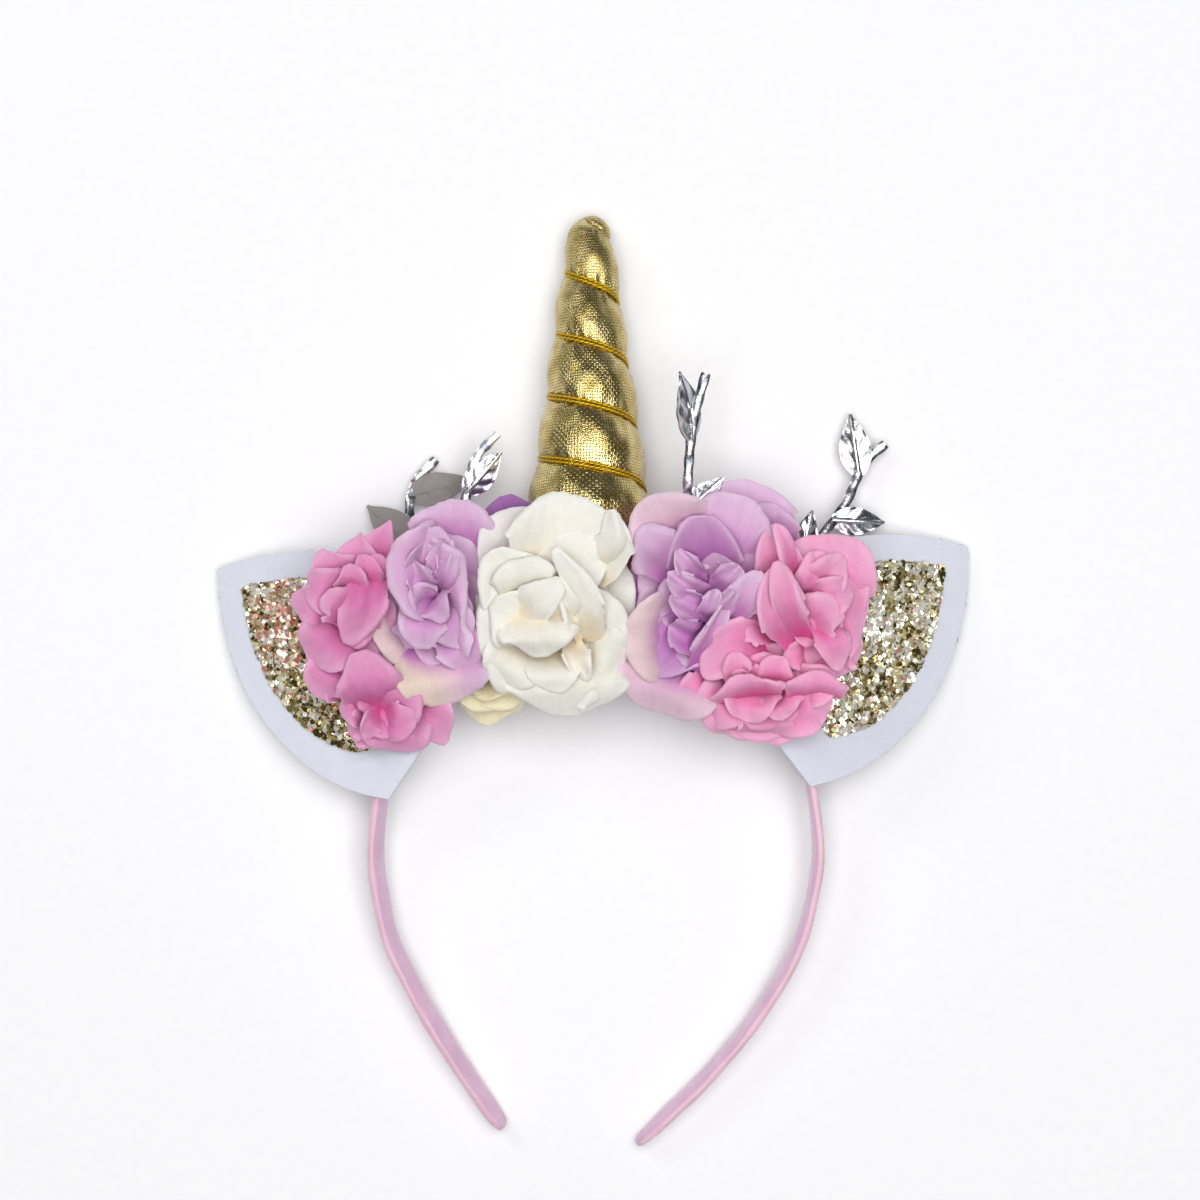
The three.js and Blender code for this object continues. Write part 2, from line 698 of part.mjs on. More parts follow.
// The middle of a bloom and the calyx under it, which runs back to a small foot.
function heartSolid(bloom, place, foot) {
  const middle = [
    ...ringPoints(bloom.radius * CALYX.heartShare, bloom.radius * CALYX.heartRise),
    ...ringPoints(CALYX.radius, 0),
  ];
  const base = ringPoints(CALYX.footRadius, 0);
  return toSolid(
    new ConvexGeometry([
      ...middle.map((point) => point.applyMatrix4(place)),
      ...base.map((point) => point.applyMatrix4(foot)),
    ]),
  );
}

function bloomSolid(bloom, place, foot, grow) {
  const squash = (p) => vec(p.x * bloom.wide, p.y * bloom.tall, p.z);
  let solid = heartSolid(bloom, place, foot);
  for (const whorl of WHORLS[bloom.kind]) {
    for (let petal = 0; petal < whorl.count; petal++) {
      const pointAt = (s, t) => squash(petalPoint(bloom, whorl, petal, s, t)).applyMatrix4(place);
      const sheet = sheetGeometry(pointAt, whorl.columns, whorl.rows, PETAL.thickness + 2 * grow);
      solid = solid.add(toSolid(sheet));
    }
  }
  return solid;
}

function bloomPlace(bloom) {
  return new THREE.Matrix4()
    .makeTranslation(onHoop(bloom.x, bloom.y, bloom.z))
    .multiply(new THREE.Matrix4().makeRotationY(radians(bloom.yaw)))
    .multiply(new THREE.Matrix4().makeRotationX(-radians(bloom.pitch)));
}

// A disc on the band's front edge, or straight behind the bloom, where an ear then cuts it off.
function bloomFoot(bloom) {
  const onBand = bloom.stand !== undefined;
  const at = onBand ? ovalPoint(bloom.stand) : onHoop(bloom.x, bloom.y);
  return new THREE.Matrix4().makeTranslation(at.x, at.y, onBand ? frontFace + GAP : 0);
}

function rearFrame(bloom, lift, front) {
  const out = ovalNormal(bloom.at);
  const foot = ovalPoint(bloom.at).addScaledVector(out, BAND.thickness / 2 + GAP + lift);
  return new THREE.Matrix4()
    .makeTranslation(foot.x, foot.y, front)
    .multiply(new THREE.Matrix4().makeBasis(vec(out.y, -out.x), vec(0, 0, -1), out));
}

const rearBloomPlace = (bloom) =>
  rearFrame(bloom, bloom.lift, bloom.front).multiply(new THREE.Matrix4().makeRotationY(radians(bloom.tip)));

const rearBloomFoot = (bloom) => rearFrame(bloom, 0, 0);

// The sprigs

function sprigRoute(sprig) {
  const [degrees, front] = sprig.stand;
  const foot = ovalPoint(degrees).addScaledVector(ovalNormal(degrees), BAND.thickness / 2).setZ(front);
  const rest = sprig.route.map(([x, y, z]) => {
    const point = onHoop(x, y, z);
    return sprig.onFloor ? point.setZ(floorAt(point.y) + z) : point;
  });
  return new THREE.CatmullRomCurve3([foot, ...rest]);
}

function leafPoint(foot, rib, side, normal, long, wide, across, up) {
  const share = Math.min(SPRIG.leafEnd, THREE.MathUtils.lerp(SPRIG.leafStart, 1, up));
  const half = (wide / 2) * Math.sin(Math.PI * share ** SPRIG.leafFullness) + SPRIG.leafBlunt;
  const rise = long * SPRIG.leafArch * Math.sin(Math.PI * up) - SPRIG.leafDroop * Math.abs(across) * half;
  return foot
    .clone()
    .addScaledVector(rib, up * long)
    .addScaledVector(side, across * half)
    .addScaledVector(normal, rise);
}

function sprigSolid(sprig, grow) {
  const curve = sprigRoute(sprig);
  const thickness = SPRIG.thickness + 2 * grow;
  const facing = vec(0, 0, 1);
  const stemPoint = (across, up) => {
    const along = curve.getTangentAt(up);
    const side = along.clone().cross(facing).normalize();
    return curve.getPointAt(up).addScaledVector(side, across * (SPRIG.stemWidth / 2 + grow));
  };
  let solid = toSolid(sheetGeometry(stemPoint, 1, SPRIG.stemRows, thickness));
  for (const leaf of sprig.leaves) {
    const along = curve.getTangentAt(leaf.at);
    const side = along.clone().cross(facing).normalize();
    const up = side.clone().cross(along).normalize();
    const rib = along.clone().applyAxisAngle(up, -leaf.side * radians(leaf.angle));
    const normal = up.clone().applyAxisAngle(rib, radians(leaf.roll));
    const across = rib.clone().cross(normal).normalize();
    const foot = curve.getPointAt(leaf.at).addScaledVector(rib, -SPRIG.stemWidth * SPRIG.leafSeat);
    const [long, wide] = [SPRIG.leafLength * leaf.size, SPRIG.leafWidth * leaf.size];
    const pointAt = (s, t) => leafPoint(foot, rib, across, normal, long, wide + 2 * grow, s, t);
    solid = solid.add(toSolid(sheetGeometry(pointAt, 2, SPRIG.leafRows, thickness)));
  }
  return solid;
}

// Assembly

const assembly = new THREE.Group();

function addPiece(name, geometry, colour) {
  const mesh = new THREE.Mesh(geometry, new THREE.MeshStandardMaterial(COLOURS[colour]));
  mesh.name = name;
  assembly.add(mesh);
}

addPiece("band", toGeometry(sweptBand(0, 1, 0, BAND.steps)), "satin");

const bandRoom = sweptBand(0, 1, GAP, BAND.steps);
addPiece("horn", toGeometry(hornSolid(0)), "gold");
addPiece("horn_cord", cordGeometry(), "cord");

const earRooms = [];
for (const row of EAR_ROWS) {
  const felt = earPanel(row, EAR_OUTLINE, 0, EAR.felt, 0).add(earWrap(row)).subtract(bandRoom);
  addPiece(`ear_felt_${row.name}`, toGeometry(largestBody(felt)), "felt");
  const panel = earPanel(row, PANEL_OUTLINE, EAR.felt + GAP, PANEL_THICKNESS, 0);
  addPiece(`ear_glitter_${row.name}`, toGeometry(panel), "glitter");
  const behind = BAND.width + EAR.felt;
  earRooms.push(earPanel(row, EAR_OUTLINE, -behind, behind + EAR.felt, GAP));
  earRooms.push(earPanel(row, PANEL_OUTLINE, 0, EAR.felt + GAP + PANEL_THICKNESS, GAP));
}

const sprigRooms = [];
for (const sprig of SPRIGS) {
  const solid = sprigSolid(sprig, 0).subtract(bandRoom);
  addPiece(sprig.name, toGeometry(largestBody(solid)), "silver");
  sprigRooms.push(sprigSolid(sprig, GAP));
}

const hornRoom = roomOf(hornSolid(GAP));
const reach = BAND.outerWidth * 2;
const behindFront = toSolid(
  new THREE.BoxGeometry(reach, reach, reach).translate(0, 0, frontFace + GAP - reach / 2),
);

const taken = [];
const petalColours = ["white", "lilac", "purple", "pink", "cream"];
const colourOf = (name) => petalColours.find((colour) => name.includes(colour));

function addBloom(bloom, place, foot, standsOn) {
  let solid = bloomSolid(bloom, place, foot, 0);
  for (const room of [standsOn, hornRoom, ...earRooms, ...sprigRooms, ...taken]) {
    solid = solid.subtract(room);
  }
  addPiece(bloom.name, toGeometry(largestBody(solid)), colourOf(bloom.name));
  taken.push(roomOf(bloomSolid(bloom, place, foot, GAP)));
}

for (const bloom of BLOOMS) addBloom(bloom, bloomPlace(bloom), bloomFoot(bloom), behindFront);
for (const bloom of REAR_BLOOMS) addBloom(bloom, rearBloomPlace(bloom), rearBloomFoot(bloom), bandRoom);

// Laying it down

const lying = new THREE.Group();
assembly.rotation.x = floorTilt;
lying.add(assembly);
lying.updateMatrixWorld(true);
const box = new THREE.Box3().setFromObject(lying, true);
const centre = box.getCenter(vec(0, 0));
lying.position.set(-centre.x, -centre.y, -box.min.z);

export default lying;
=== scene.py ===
"""Looks of a unicorn horn headband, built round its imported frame.

The headband lies on its back. Shapes are worked out in the hoop's own frame, in millimetres: x to the right
as seen from the front, y up as worn and z out of the front, with the centre of the hoop's oval at the origin.
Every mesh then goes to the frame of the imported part, in metres.
"""
import sys
import logging
import math
from dataclasses import dataclass, field
from enum import Enum

import bpy
import numpy as np
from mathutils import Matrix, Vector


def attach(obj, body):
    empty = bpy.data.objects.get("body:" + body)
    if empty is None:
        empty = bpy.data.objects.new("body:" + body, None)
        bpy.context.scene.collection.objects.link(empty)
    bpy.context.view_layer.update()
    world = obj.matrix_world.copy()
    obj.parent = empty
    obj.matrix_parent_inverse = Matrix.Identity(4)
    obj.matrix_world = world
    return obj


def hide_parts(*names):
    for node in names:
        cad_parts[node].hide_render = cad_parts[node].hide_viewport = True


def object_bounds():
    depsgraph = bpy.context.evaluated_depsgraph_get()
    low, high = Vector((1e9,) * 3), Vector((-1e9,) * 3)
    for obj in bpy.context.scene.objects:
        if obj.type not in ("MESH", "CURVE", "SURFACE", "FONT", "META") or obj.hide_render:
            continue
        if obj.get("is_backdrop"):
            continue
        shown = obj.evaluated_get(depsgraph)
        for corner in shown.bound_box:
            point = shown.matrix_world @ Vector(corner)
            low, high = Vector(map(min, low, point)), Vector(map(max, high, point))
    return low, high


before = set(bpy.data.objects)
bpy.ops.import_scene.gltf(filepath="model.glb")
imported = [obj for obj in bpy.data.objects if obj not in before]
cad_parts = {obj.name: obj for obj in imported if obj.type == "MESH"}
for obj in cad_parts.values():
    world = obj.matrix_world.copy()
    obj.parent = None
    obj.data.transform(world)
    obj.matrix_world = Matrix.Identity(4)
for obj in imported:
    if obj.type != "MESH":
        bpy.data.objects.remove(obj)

CAD_BOX = [list(corner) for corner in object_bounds()]
LOG = logging.getLogger("headband")
METRES = 0.001
CLOTH_UV = "cloth"
CREASE_ANGLE = 58.0

Colour = tuple[float, float, float, float]


# Helpers

def ink(code: str, strength: float = 1.0) -> Colour:
    """Turns a colour written as six hex digits into linear values.

    Args:
        code: The colour, such as "d9b5d2".
        strength: Multiplies all three channels.

    Returns:
        Red, green, blue and an alpha of one.
    """
    channels = [int(code[k:k + 2], 16) / 255 for k in (0, 2, 4)]
    linear = [c / 12.92 if c <= 0.04045 else ((c + 0.055) / 1.055) ** 2.4 for c in channels]
    return (*[c * strength for c in linear], 1.0)


def smooth(low: float, high: float, value: np.ndarray) -> np.ndarray:
    """Rises smoothly from 0 at low to 1 at high."""
    share = np.clip((value - low) / (high - low), 0, 1)
    return share * share * (3 - 2 * share)


def waves(points: np.ndarray, size: float, seed: int, count: int = 9) -> np.ndarray:
    """Soft irregular bumps made from plane waves in seeded directions.

    Args:
        points: Any array whose last axis is a position.
        size: Rough width of one bump, in the unit of the positions.
        seed: Chooses the directions.
        count: Number of waves.

    Returns:
        One value for each position, mostly between -1 and 1.
    """
    rng = np.random.default_rng(seed)
    total = np.zeros(points.shape[:-1])
    for _ in range(count):
        way = rng.normal(size=points.shape[-1])
        way *= math.pi * rng.uniform(0.6, 1.5) / size / np.linalg.norm(way)
        total += np.sin(points @ way + rng.uniform(0, 2 * math.pi))
    return total / math.sqrt(count)


def shift(x: float, y: float, z: float) -> np.ndarray:
    """A matrix that moves.

    Args:
        x: How far to the right.
        y: How far up the hoop.
        z: How far to the front.

    Returns:
        The matrix.
    """
    matrix = np.eye(4)
    matrix[:3, 3] = (x, y, z)
    return matrix


def turn(axis: int, degrees: float) -> np.ndarray:
    """A matrix that turns about an axis.

    Args:
        axis: 0, 1 or 2 for x, y or z.
        degrees: How far.

    Returns:
        The matrix.
    """
    a, b = [(1, 2), (2, 0), (0, 1)][axis]
    matrix = np.eye(4)
    c, s = math.cos(math.radians(degrees)), math.sin(math.radians(degrees))
    matrix[a, a], matrix[a, b], matrix[b, a], matrix[b, b] = c, -s, s, c
    return matrix


def basis(x: np.ndarray, y: np.ndarray, z: np.ndarray) -> np.ndarray:
    """A matrix whose columns are three directions.

    Args:
        x: Where the x axis goes.
        y: Where the y axis goes.
        z: Where the z axis goes.

    Returns:
        The matrix.
    """
    matrix = np.eye(4)
    matrix[:3, 0], matrix[:3, 1], matrix[:3, 2] = x, y, z
    return matrix


def moved(matrix: np.ndarray, points: np.ndarray) -> np.ndarray:
    """Applies a 4 by 4 matrix to points."""
    return points @ matrix[:3, :3].T + matrix[:3, 3]


def unit(vector: np.ndarray) -> np.ndarray:
    """The same directions with a length of one."""
    return vector / np.maximum(np.linalg.norm(vector, axis=-1, keepdims=True), 1e-12)


def through(corners: np.ndarray, per_span: int = 24) -> np.ndarray:
    """A smooth centripetal curve through points.

    Args:
        corners: The points that the curve passes.
        per_span: Points put on each stretch between two of them.

    Returns:
        Closely spaced points of the curve.
    """
    ends = np.vstack([2 * corners[0] - corners[1], corners, 2 * corners[-1] - corners[-2]])
    share = np.linspace(0, 1, per_span, endpoint=False)[:, None]
    spans = []
    for p0, p1, p2, p3 in zip(ends, ends[1:], ends[2:], ends[3:]):
        d0, d1, d2 = [math.sqrt(np.linalg.norm(b - a)) for a, b in ((p0, p1), (p1, p2), (p2, p3))]
        m1 = ((p1 - p0) / d0 - (p2 - p0) / (d0 + d1) + (p2 - p1) / d1) * d1
        m2 = ((p2 - p1) / d1 - (p3 - p1) / (d1 + d2) + (p3 - p2) / d2) * d1
        spans.append(
            p1 + m1 * share
            + (3 * (p2 - p1) - 2 * m1 - m2) * share ** 2
            + (2 * (p1 - p2) + m1 + m2) * share ** 3
        )
    return np.vstack([*spans, corners[-1:]])


class Line:
    """A curve that is read by its share of length."""

    def __init__(self, points: np.ndarray) -> None:
        """Measures a line of closely spaced points."""
        self.points = points
        self.run = np.concatenate([[0], np.cumsum(np.linalg.norm(np.diff(points, axis=0), axis=1))])
        self.length = float(self.run[-1])

    def at(self, share: np.ndarray) -> np.ndarray:
        """Positions at shares of the length."""
        where = np.atleast_1d(share) * self.length
        return np.stack([np.interp(where, self.run, self.points[:, k]) for k in range(3)], axis=-1)

    def along(self, share: np.ndarray) -> np.ndarray:
        """Unit tangents.

        Args:
            share: Shares of the length.

        Returns:
            A direction for each share.
        """
        step = 0.002
        share = np.atleast_1d(share)
        return unit(self.at(np.minimum(share + step, 1)) - self.at(np.maximum(share - step, 0)))


@dataclass(frozen=True)
class Placement:
    """How the hoop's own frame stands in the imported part's frame."""

    tilt: float = 5.755
    right: float = 1.172
    up: float = -49.427
    lift: float = 12.169

    def to_part(self, points: np.ndarray) -> np.ndarray:
        """Takes hoop millimetres to the part's metres."""
        return moved(shift(self.right, self.up, self.lift) @ turn(0, self.tilt), points) * METRES

    def floor(self, y: float) -> float:
        """Height of the surface under the headband, in the hoop's frame, at a distance up the hoop."""
        tilt = math.radians(self.tilt)
        return -(self.lift + y * math.sin(tilt)) / math.cos(tilt)


LYING = Placement()


class Skin:
    """Collects sheets, tubes and plates into one mesh."""

    def __init__(self, name: str, slot: str) -> None:
        """Starts an empty piece.

        Args:
            name: Name of the piece.
            slot: The record's material slot; it is not used.
        """
        self.name = name
        self.slot = slot
        self.count = 0
        self.points: list[np.ndarray] = []
        self.uvs: list[np.ndarray] = []
        self.faces: list[list[int]] = []
        self.face_slots: list[int] = []
        self.values: list[dict[str, np.ndarray]] = []

    def add(
        self, points: np.ndarray, faces: np.ndarray | list[list[int]], uv: np.ndarray, slot: int = 0,
        **values: np.ndarray | float,
    ) -> None:
        """Adds a body of points and faces.

        Args:
            points: Positions in hoop millimetres, one row each.
            faces: Rows of indices into the points.
            uv: Position on the flat cloth in millimetres, one row for each point.
            slot: Which of the piece's materials the faces take.
            **values: Named numbers for each point, read by the materials.
        """
        points = points.reshape(-1, 3)
        rows = faces.tolist() if isinstance(faces, np.ndarray) else faces
        self.points.append(points)
        self.uvs.append(uv.reshape(-1, 2))
        self.faces.extend([[self.count + k for k in row] for row in rows])
        self.face_slots.extend([slot] * len(rows))
        spread = {key: np.broadcast_to(np.ravel(value), len(points)) for key, value in values.items()}
        self.values.append(spread)
        self.count += len(points)

    def sheet(
        self, grid: np.ndarray, thickness: float | np.ndarray, uv: np.ndarray, back: int = 0,
        **values: np.ndarray | float,
    ) -> None:
        """Adds a grid of points as a thin closed sheet.

        Args:
            grid: Points of the middle of the sheet, rows by columns.
            thickness: Thickness of the cloth, one number or one for each point.
            uv: Position on the flat cloth for each point.
            back: Which material the back takes.
            **values: Named numbers for each point.
        """
        rows, columns = grid.shape[:2]
        normal = unit(np.cross(np.gradient(grid, axis=1), np.gradient(grid, axis=0)))
        half = normal * (np.broadcast_to(thickness, grid.shape[:2])[..., None] / 2)
        number = np.arange(rows * columns).reshape(rows, columns)
        a, b, c, d = number[:-1, :-1], number[:-1, 1:], number[1:, 1:], number[1:, :-1]
        quads = np.stack([a, b, c, d], axis=-1).reshape(-1, 4)
        edge = np.concatenate([number[0, :-1], number[:-1, -1], number[-1, :0:-1], number[:0:-1, 0]])
        layer = rows * columns
        following = np.roll(edge, -1)
        rim = np.stack([edge, edge + layer, following + layer, following], axis=-1)
        points = np.concatenate([(grid + half).reshape(-1, 3), (grid - half).reshape(-1, 3)])
        both = {
            key: np.tile(np.broadcast_to(value, grid.shape[:2]).ravel(), 2) for key, value in values.items()
        }
        uvs = np.tile(uv.reshape(-1, 2), (2, 1))
        self.add(points, np.concatenate([quads, rim]), uvs, **both)
        turned_over = (quads[:, ::-1] + self.count - layer).tolist()
        self.faces.extend(turned_over)
        self.face_slots.extend([back] * len(quads))

    def tube(self, rings: np.ndarray, uv: np.ndarray, **values: np.ndarray | float) -> None:
        """Adds rings of points as a closed tube with flat ends.

        Args:
            rings: Points, rings by sides.
            uv: Position on the flat cloth for each point.
            **values: Named numbers for each point.
        """
        count, sides = rings.shape[:2]
        number = np.arange(count * sides).reshape(count, sides)
        ahead = np.roll(number, -1, axis=1)
        quads = np.stack([number[:-1], ahead[:-1], ahead[1:], number[1:]], axis=-1).reshape(-1, 4).tolist()
        ends = [number[0, ::-1].tolist(), number[-1].tolist()]
        self.add(rings, quads + ends, uv, **values)

    def finish(self, *materials: bpy.types.Material) -> bpy.types.Object:
        """Makes the object, on the part's only body.

        Args:
            *materials: The materials that the faces' numbers refer to.

        Returns:
            The new object.
        """
        mesh = bpy.data.meshes.new(self.name)
        points = LYING.to_part(np.concatenate(self.points))
        points[:, 2] = np.maximum(points[:, 2], 0.0)
        mesh.from_pydata(points.tolist(), [], self.faces)
        corners = np.zeros(len(mesh.loops), dtype=np.int32)
        mesh.loops.foreach_get("vertex_index", corners)
        layer = mesh.uv_layers.new(name=CLOTH_UV)
        layer.uv.foreach_set("vector", np.concatenate(self.uvs)[corners].astype(np.float32).ravel())
        names = sorted({key for part in self.values for key in part})
        for key in names:
            parts = [part.get(key, np.zeros(len(own))) for part, own in zip(self.values, self.points)]
            attribute = mesh.attributes.new(key, "FLOAT", "POINT")
            attribute.data.foreach_set("value", np.concatenate(parts).astype(np.float32))
        for material in materials:
            mesh.materials.append(material)
        mesh.polygons.foreach_set("material_index", np.array(self.face_slots, dtype=np.int32))
        mesh.polygons.foreach_set("use_smooth", np.ones(len(mesh.polygons), dtype=bool))
        mesh.set_sharp_from_angle(angle=math.radians(CREASE_ANGLE))
        mesh.update()
        piece = bpy.data.objects.new(self.name, mesh)
        bpy.context.scene.collection.objects.link(piece)
        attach(piece, "root")
        LOG.info("%s: %d faces", self.name, len(self.faces))
        return piece


# Finishes

Value = bpy.types.NodeSocket | float | tuple


class Nodes:
    """Places and joins the nodes of one material or group."""

    def __init__(self, tree: bpy.types.NodeTree) -> None:
        """Works on a node tree."""
        self.tree = tree

    def place(
        self, kind: str, inputs: dict[str | int, Value] | None = None, **settings: object,
    ) -> bpy.types.Node:
        """Adds a node.

        Args:
            kind: The node's type.
            inputs: Numbers, or other nodes' outputs, for its inputs.
            **settings: Properties of the node itself.

        Returns:
            The new node.
        """
        made = self.tree.nodes.new(kind)
        for key, value in settings.items():
            setattr(made, key, value)
        for key, value in (inputs or {}).items():
            if isinstance(value, bpy.types.NodeSocket):
                self.tree.links.new(value, made.inputs[key])
            else:
                made.inputs[key].default_value = value
        return made

    def maths(
        self, operation: str, first: Value, second: Value = 0.0, clamp: bool = False,
    ) -> bpy.types.NodeSocket:
        """The result of one operation on two numbers."""
        node = self.place("ShaderNodeMath", {0: first, 1: second}, operation=operation, use_clamp=clamp)
        return node.outputs[0]

    def blend(self, share: Value, first: Value, second: Value, way: str = "MIX") -> bpy.types.NodeSocket:
        """Two colours mixed by a share."""
        node = self.place("ShaderNodeMix", {0: share, 6: first, 7: second}, data_type="RGBA", blend_type=way)
        return node.outputs[2]

    def ramp(
        self, share: Value, stops: list[tuple[float, Colour]], steps: bool = False,
    ) -> bpy.types.NodeSocket:
        """A colour read from a row of stops.

        Args:
            share: Where to read, from 0 to 1.
            stops: Places and their colours.
            steps: Whether the colours change in steps.

        Returns:
            The colour.
        """
        node = self.place("ShaderNodeValToRGB", {0: share})
        node.color_ramp.interpolation = "CONSTANT" if steps else "LINEAR"
        while len(node.color_ramp.elements) < len(stops):
            node.color_ramp.elements.new(0.5)
        for element, (at, colour) in zip(node.color_ramp.elements, stops):
            element.position = at
            element.color = colour
        return node.outputs[0]

    def noise(self, scale: float, detail: float = 3.0, where: Value | None = None) -> bpy.types.NodeSocket:
        """Soft noise, by default over the object's own position, with scale in bumps a metre."""
        inputs = {"Vector": where if where is not None else self.position(), "Scale": scale, "Detail": detail}
        return self.place("ShaderNodeTexNoise", inputs).outputs[0]

    def position(self) -> bpy.types.NodeSocket:
        """The object's own position, in metres."""
        return self.place("ShaderNodeTexCoord").outputs["Object"]

    def flat(self) -> bpy.types.NodeSocket:
        """Position on the flat cloth, in millimetres."""
        return self.place("ShaderNodeUVMap", uv_map=CLOTH_UV).outputs[0]

    def value(self, name: str) -> bpy.types.NodeSocket:
        """A named number of the mesh's points."""
        return self.place("ShaderNodeAttribute", attribute_name=name).outputs["Fac"]

    def group(self, tree: bpy.types.NodeTree, inputs: dict[str, Value]) -> bpy.types.Node:
        """Adds a shared group of nodes.

        Args:
            tree: The group.
            inputs: Numbers, or other nodes' outputs, for its inputs.

        Returns:
            The group's node.
        """
        node = self.place("ShaderNodeGroup", node_tree=tree)
        for key, value in inputs.items():
            if isinstance(value, bpy.types.NodeSocket):
                self.tree.links.new(value, node.inputs[key])
            else:
                node.inputs[key].default_value = value
        return node

    def bump(
        self, height: Value, strength: float, distance: float, under: Value | None = None,
    ) -> bpy.types.NodeSocket:
        """A normal bent by a height.

        Args:
            height: The height, from 0 to 1.
            strength: How much of the bend shows.
            distance: The height that 1 stands for, in metres.
            under: A normal that is bent already.

        Returns:
            The normal.
        """
        inputs: dict[str | int, Value] = {"Height": height, "Strength": strength, "Distance": distance}
        if under is not None:
            inputs["Normal"] = under
        return self.place("ShaderNodeBump", inputs).outputs[0]


def open_group(
    name: str, inputs: dict[str, str], outputs: dict[str, str],
) -> tuple[Nodes, bpy.types.Node, bpy.types.Node]:
    """Starts a shared group of nodes.

    Args:
        name: Name of the group.
        inputs: Names and kinds of what goes in.
        outputs: Names and kinds of what comes out.

    Returns:
        The group's nodes, its input node and its output node.
    """
    tree = bpy.data.node_groups.new(name, "ShaderNodeTree")
    for way, sockets in (("INPUT", inputs), ("OUTPUT", outputs)):
        for label, kind in sockets.items():
            tree.interface.new_socket(name=label, in_out=way, socket_type=kind)
    nodes = Nodes(tree)
    return nodes, nodes.place("NodeGroupInput"), nodes.place("NodeGroupOutput")


NUMBER = "NodeSocketFloat"
VECTOR = "NodeSocketVector"
COLOUR = "NodeSocketColor"


def weave_group() -> bpy.types.NodeTree:
    """A plain weave: crossing threads, their height and the dark gaps between them.

    Returns:
        The group, which takes a flat position and a thread pitch in the same unit.
    """
    found = bpy.data.node_groups.get("plain_weave")
    if found:
        return found
    inputs = {"Flat": VECTOR, "Pitch": NUMBER, "Looseness": NUMBER}
    nodes, start, end = open_group("plain_weave", inputs, {"Height": NUMBER, "Gap": NUMBER})
    flat = start.outputs["Flat"]
    wander = nodes.place("ShaderNodeTexNoise", {"Vector": flat, "Scale": 0.35, "Detail": 1.0})
    pushed = nodes.place(
        "ShaderNodeVectorMath", {0: wander.outputs[1], 1: (0.5, 0.5, 0.5)}, operation="SUBTRACT"
    )
    scaled = nodes.place("ShaderNodeVectorMath", {0: pushed.outputs[0]}, operation="SCALE")
    nodes.tree.links.new(start.outputs["Looseness"], scaled.inputs["Scale"])
    loose = nodes.place("ShaderNodeVectorMath", {0: flat, 1: scaled.outputs[0]}, operation="ADD")
    split = nodes.place("ShaderNodeSeparateXYZ", {0: loose.outputs[0]})
    rate = nodes.maths("DIVIDE", math.pi, start.outputs["Pitch"])
    phases = [nodes.maths("MULTIPLY", split.outputs[k], rate) for k in (0, 1)]
    arcs = [nodes.maths("ABSOLUTE", nodes.maths("SINE", phase)) for phase in phases]
    cross = nodes.maths("MULTIPLY", nodes.maths("COSINE", phases[0]), nodes.maths("COSINE", phases[1]))
    over = nodes.maths("ADD", nodes.maths("MULTIPLY", cross, 0.5), 0.5)
    under = nodes.maths("SUBTRACT", 1.0, over)
    threads = [nodes.maths("MULTIPLY", arc, way) for arc, way in zip(arcs, (over, under))]
    height = nodes.maths("MAXIMUM", *threads)
    covered = nodes.maths("MULTIPLY", nodes.maths("MINIMUM", *arcs), 2.6, clamp=True)
    gap = nodes.maths("SUBTRACT", 1.0, covered, True)
    nodes.tree.links.new(height, end.inputs["Height"])
    nodes.tree.links.new(gap, end.inputs["Gap"])
    return nodes.tree


def mottle_group() -> bpy.types.NodeTree:
    """Uneven dye: a colour made lighter and darker in soft patches and fine fibres.

    Returns:
        The group, which takes a position, a colour and an amount.
    """
    found = bpy.data.node_groups.get("uneven_dye")
    if found:
        return found
    inputs = {"Position": VECTOR, "Color": COLOUR, "Amount": NUMBER}
    nodes, start, end = open_group("uneven_dye", inputs, {"Color": COLOUR, "Patches": NUMBER})
    wide = nodes.noise(90.0, 3.0, start.outputs["Position"])
    fine = nodes.noise(1400.0, 2.0, start.outputs["Position"])
    both = nodes.maths("ADD", nodes.maths("MULTIPLY", wide, 0.65), nodes.maths("MULTIPLY", fine, 0.35))
    swing = nodes.maths("MULTIPLY", nodes.maths("SUBTRACT", both, 0.5), start.outputs["Amount"])
    level = nodes.maths("ADD", nodes.maths("MULTIPLY", swing, 2.0), 1.0)
    grey = nodes.place("ShaderNodeCombineColor", {0: level, 1: level, 2: level}).outputs[0]
    nodes.tree.links.new(nodes.blend(1.0, start.outputs["Color"], grey, "MULTIPLY"), end.inputs["Color"])
    nodes.tree.links.new(both, end.inputs["Patches"])
    return nodes.tree


def fibre_group() -> bpy.types.NodeTree:
    """Short matted fibres: a height for felt and for the fluff of petals.

    Returns:
        The group, which takes a position and a fibre size in bumps a metre.
    """
    found = bpy.data.node_groups.get("matted_fibres")
    if found:
        return found
    inputs = {"Position": VECTOR, "Fineness": NUMBER}
    nodes, start, end = open_group("matted_fibres", inputs, {"Height": NUMBER})
    where = start.outputs["Position"]
    heights = []
    for stretch in ((1.0, 0.22, 0.6), (0.22, 1.0, 0.6), (0.6, 0.6, 0.3)):
        long = nodes.place("ShaderNodeVectorMath", {0: where, 1: stretch}, operation="MULTIPLY").outputs[0]
        noise = nodes.place("ShaderNodeTexNoise", {"Vector": long, "Detail": 4.0, "Distortion": 1.2})
        nodes.tree.links.new(start.outputs["Fineness"], noise.inputs["Scale"])
        heights.append(noise.outputs[0])
    total = nodes.maths("MAXIMUM", nodes.maths("MAXIMUM", heights[0], heights[1]), heights[2])
    nodes.tree.links.new(total, end.inputs["Height"])
    return nodes.tree


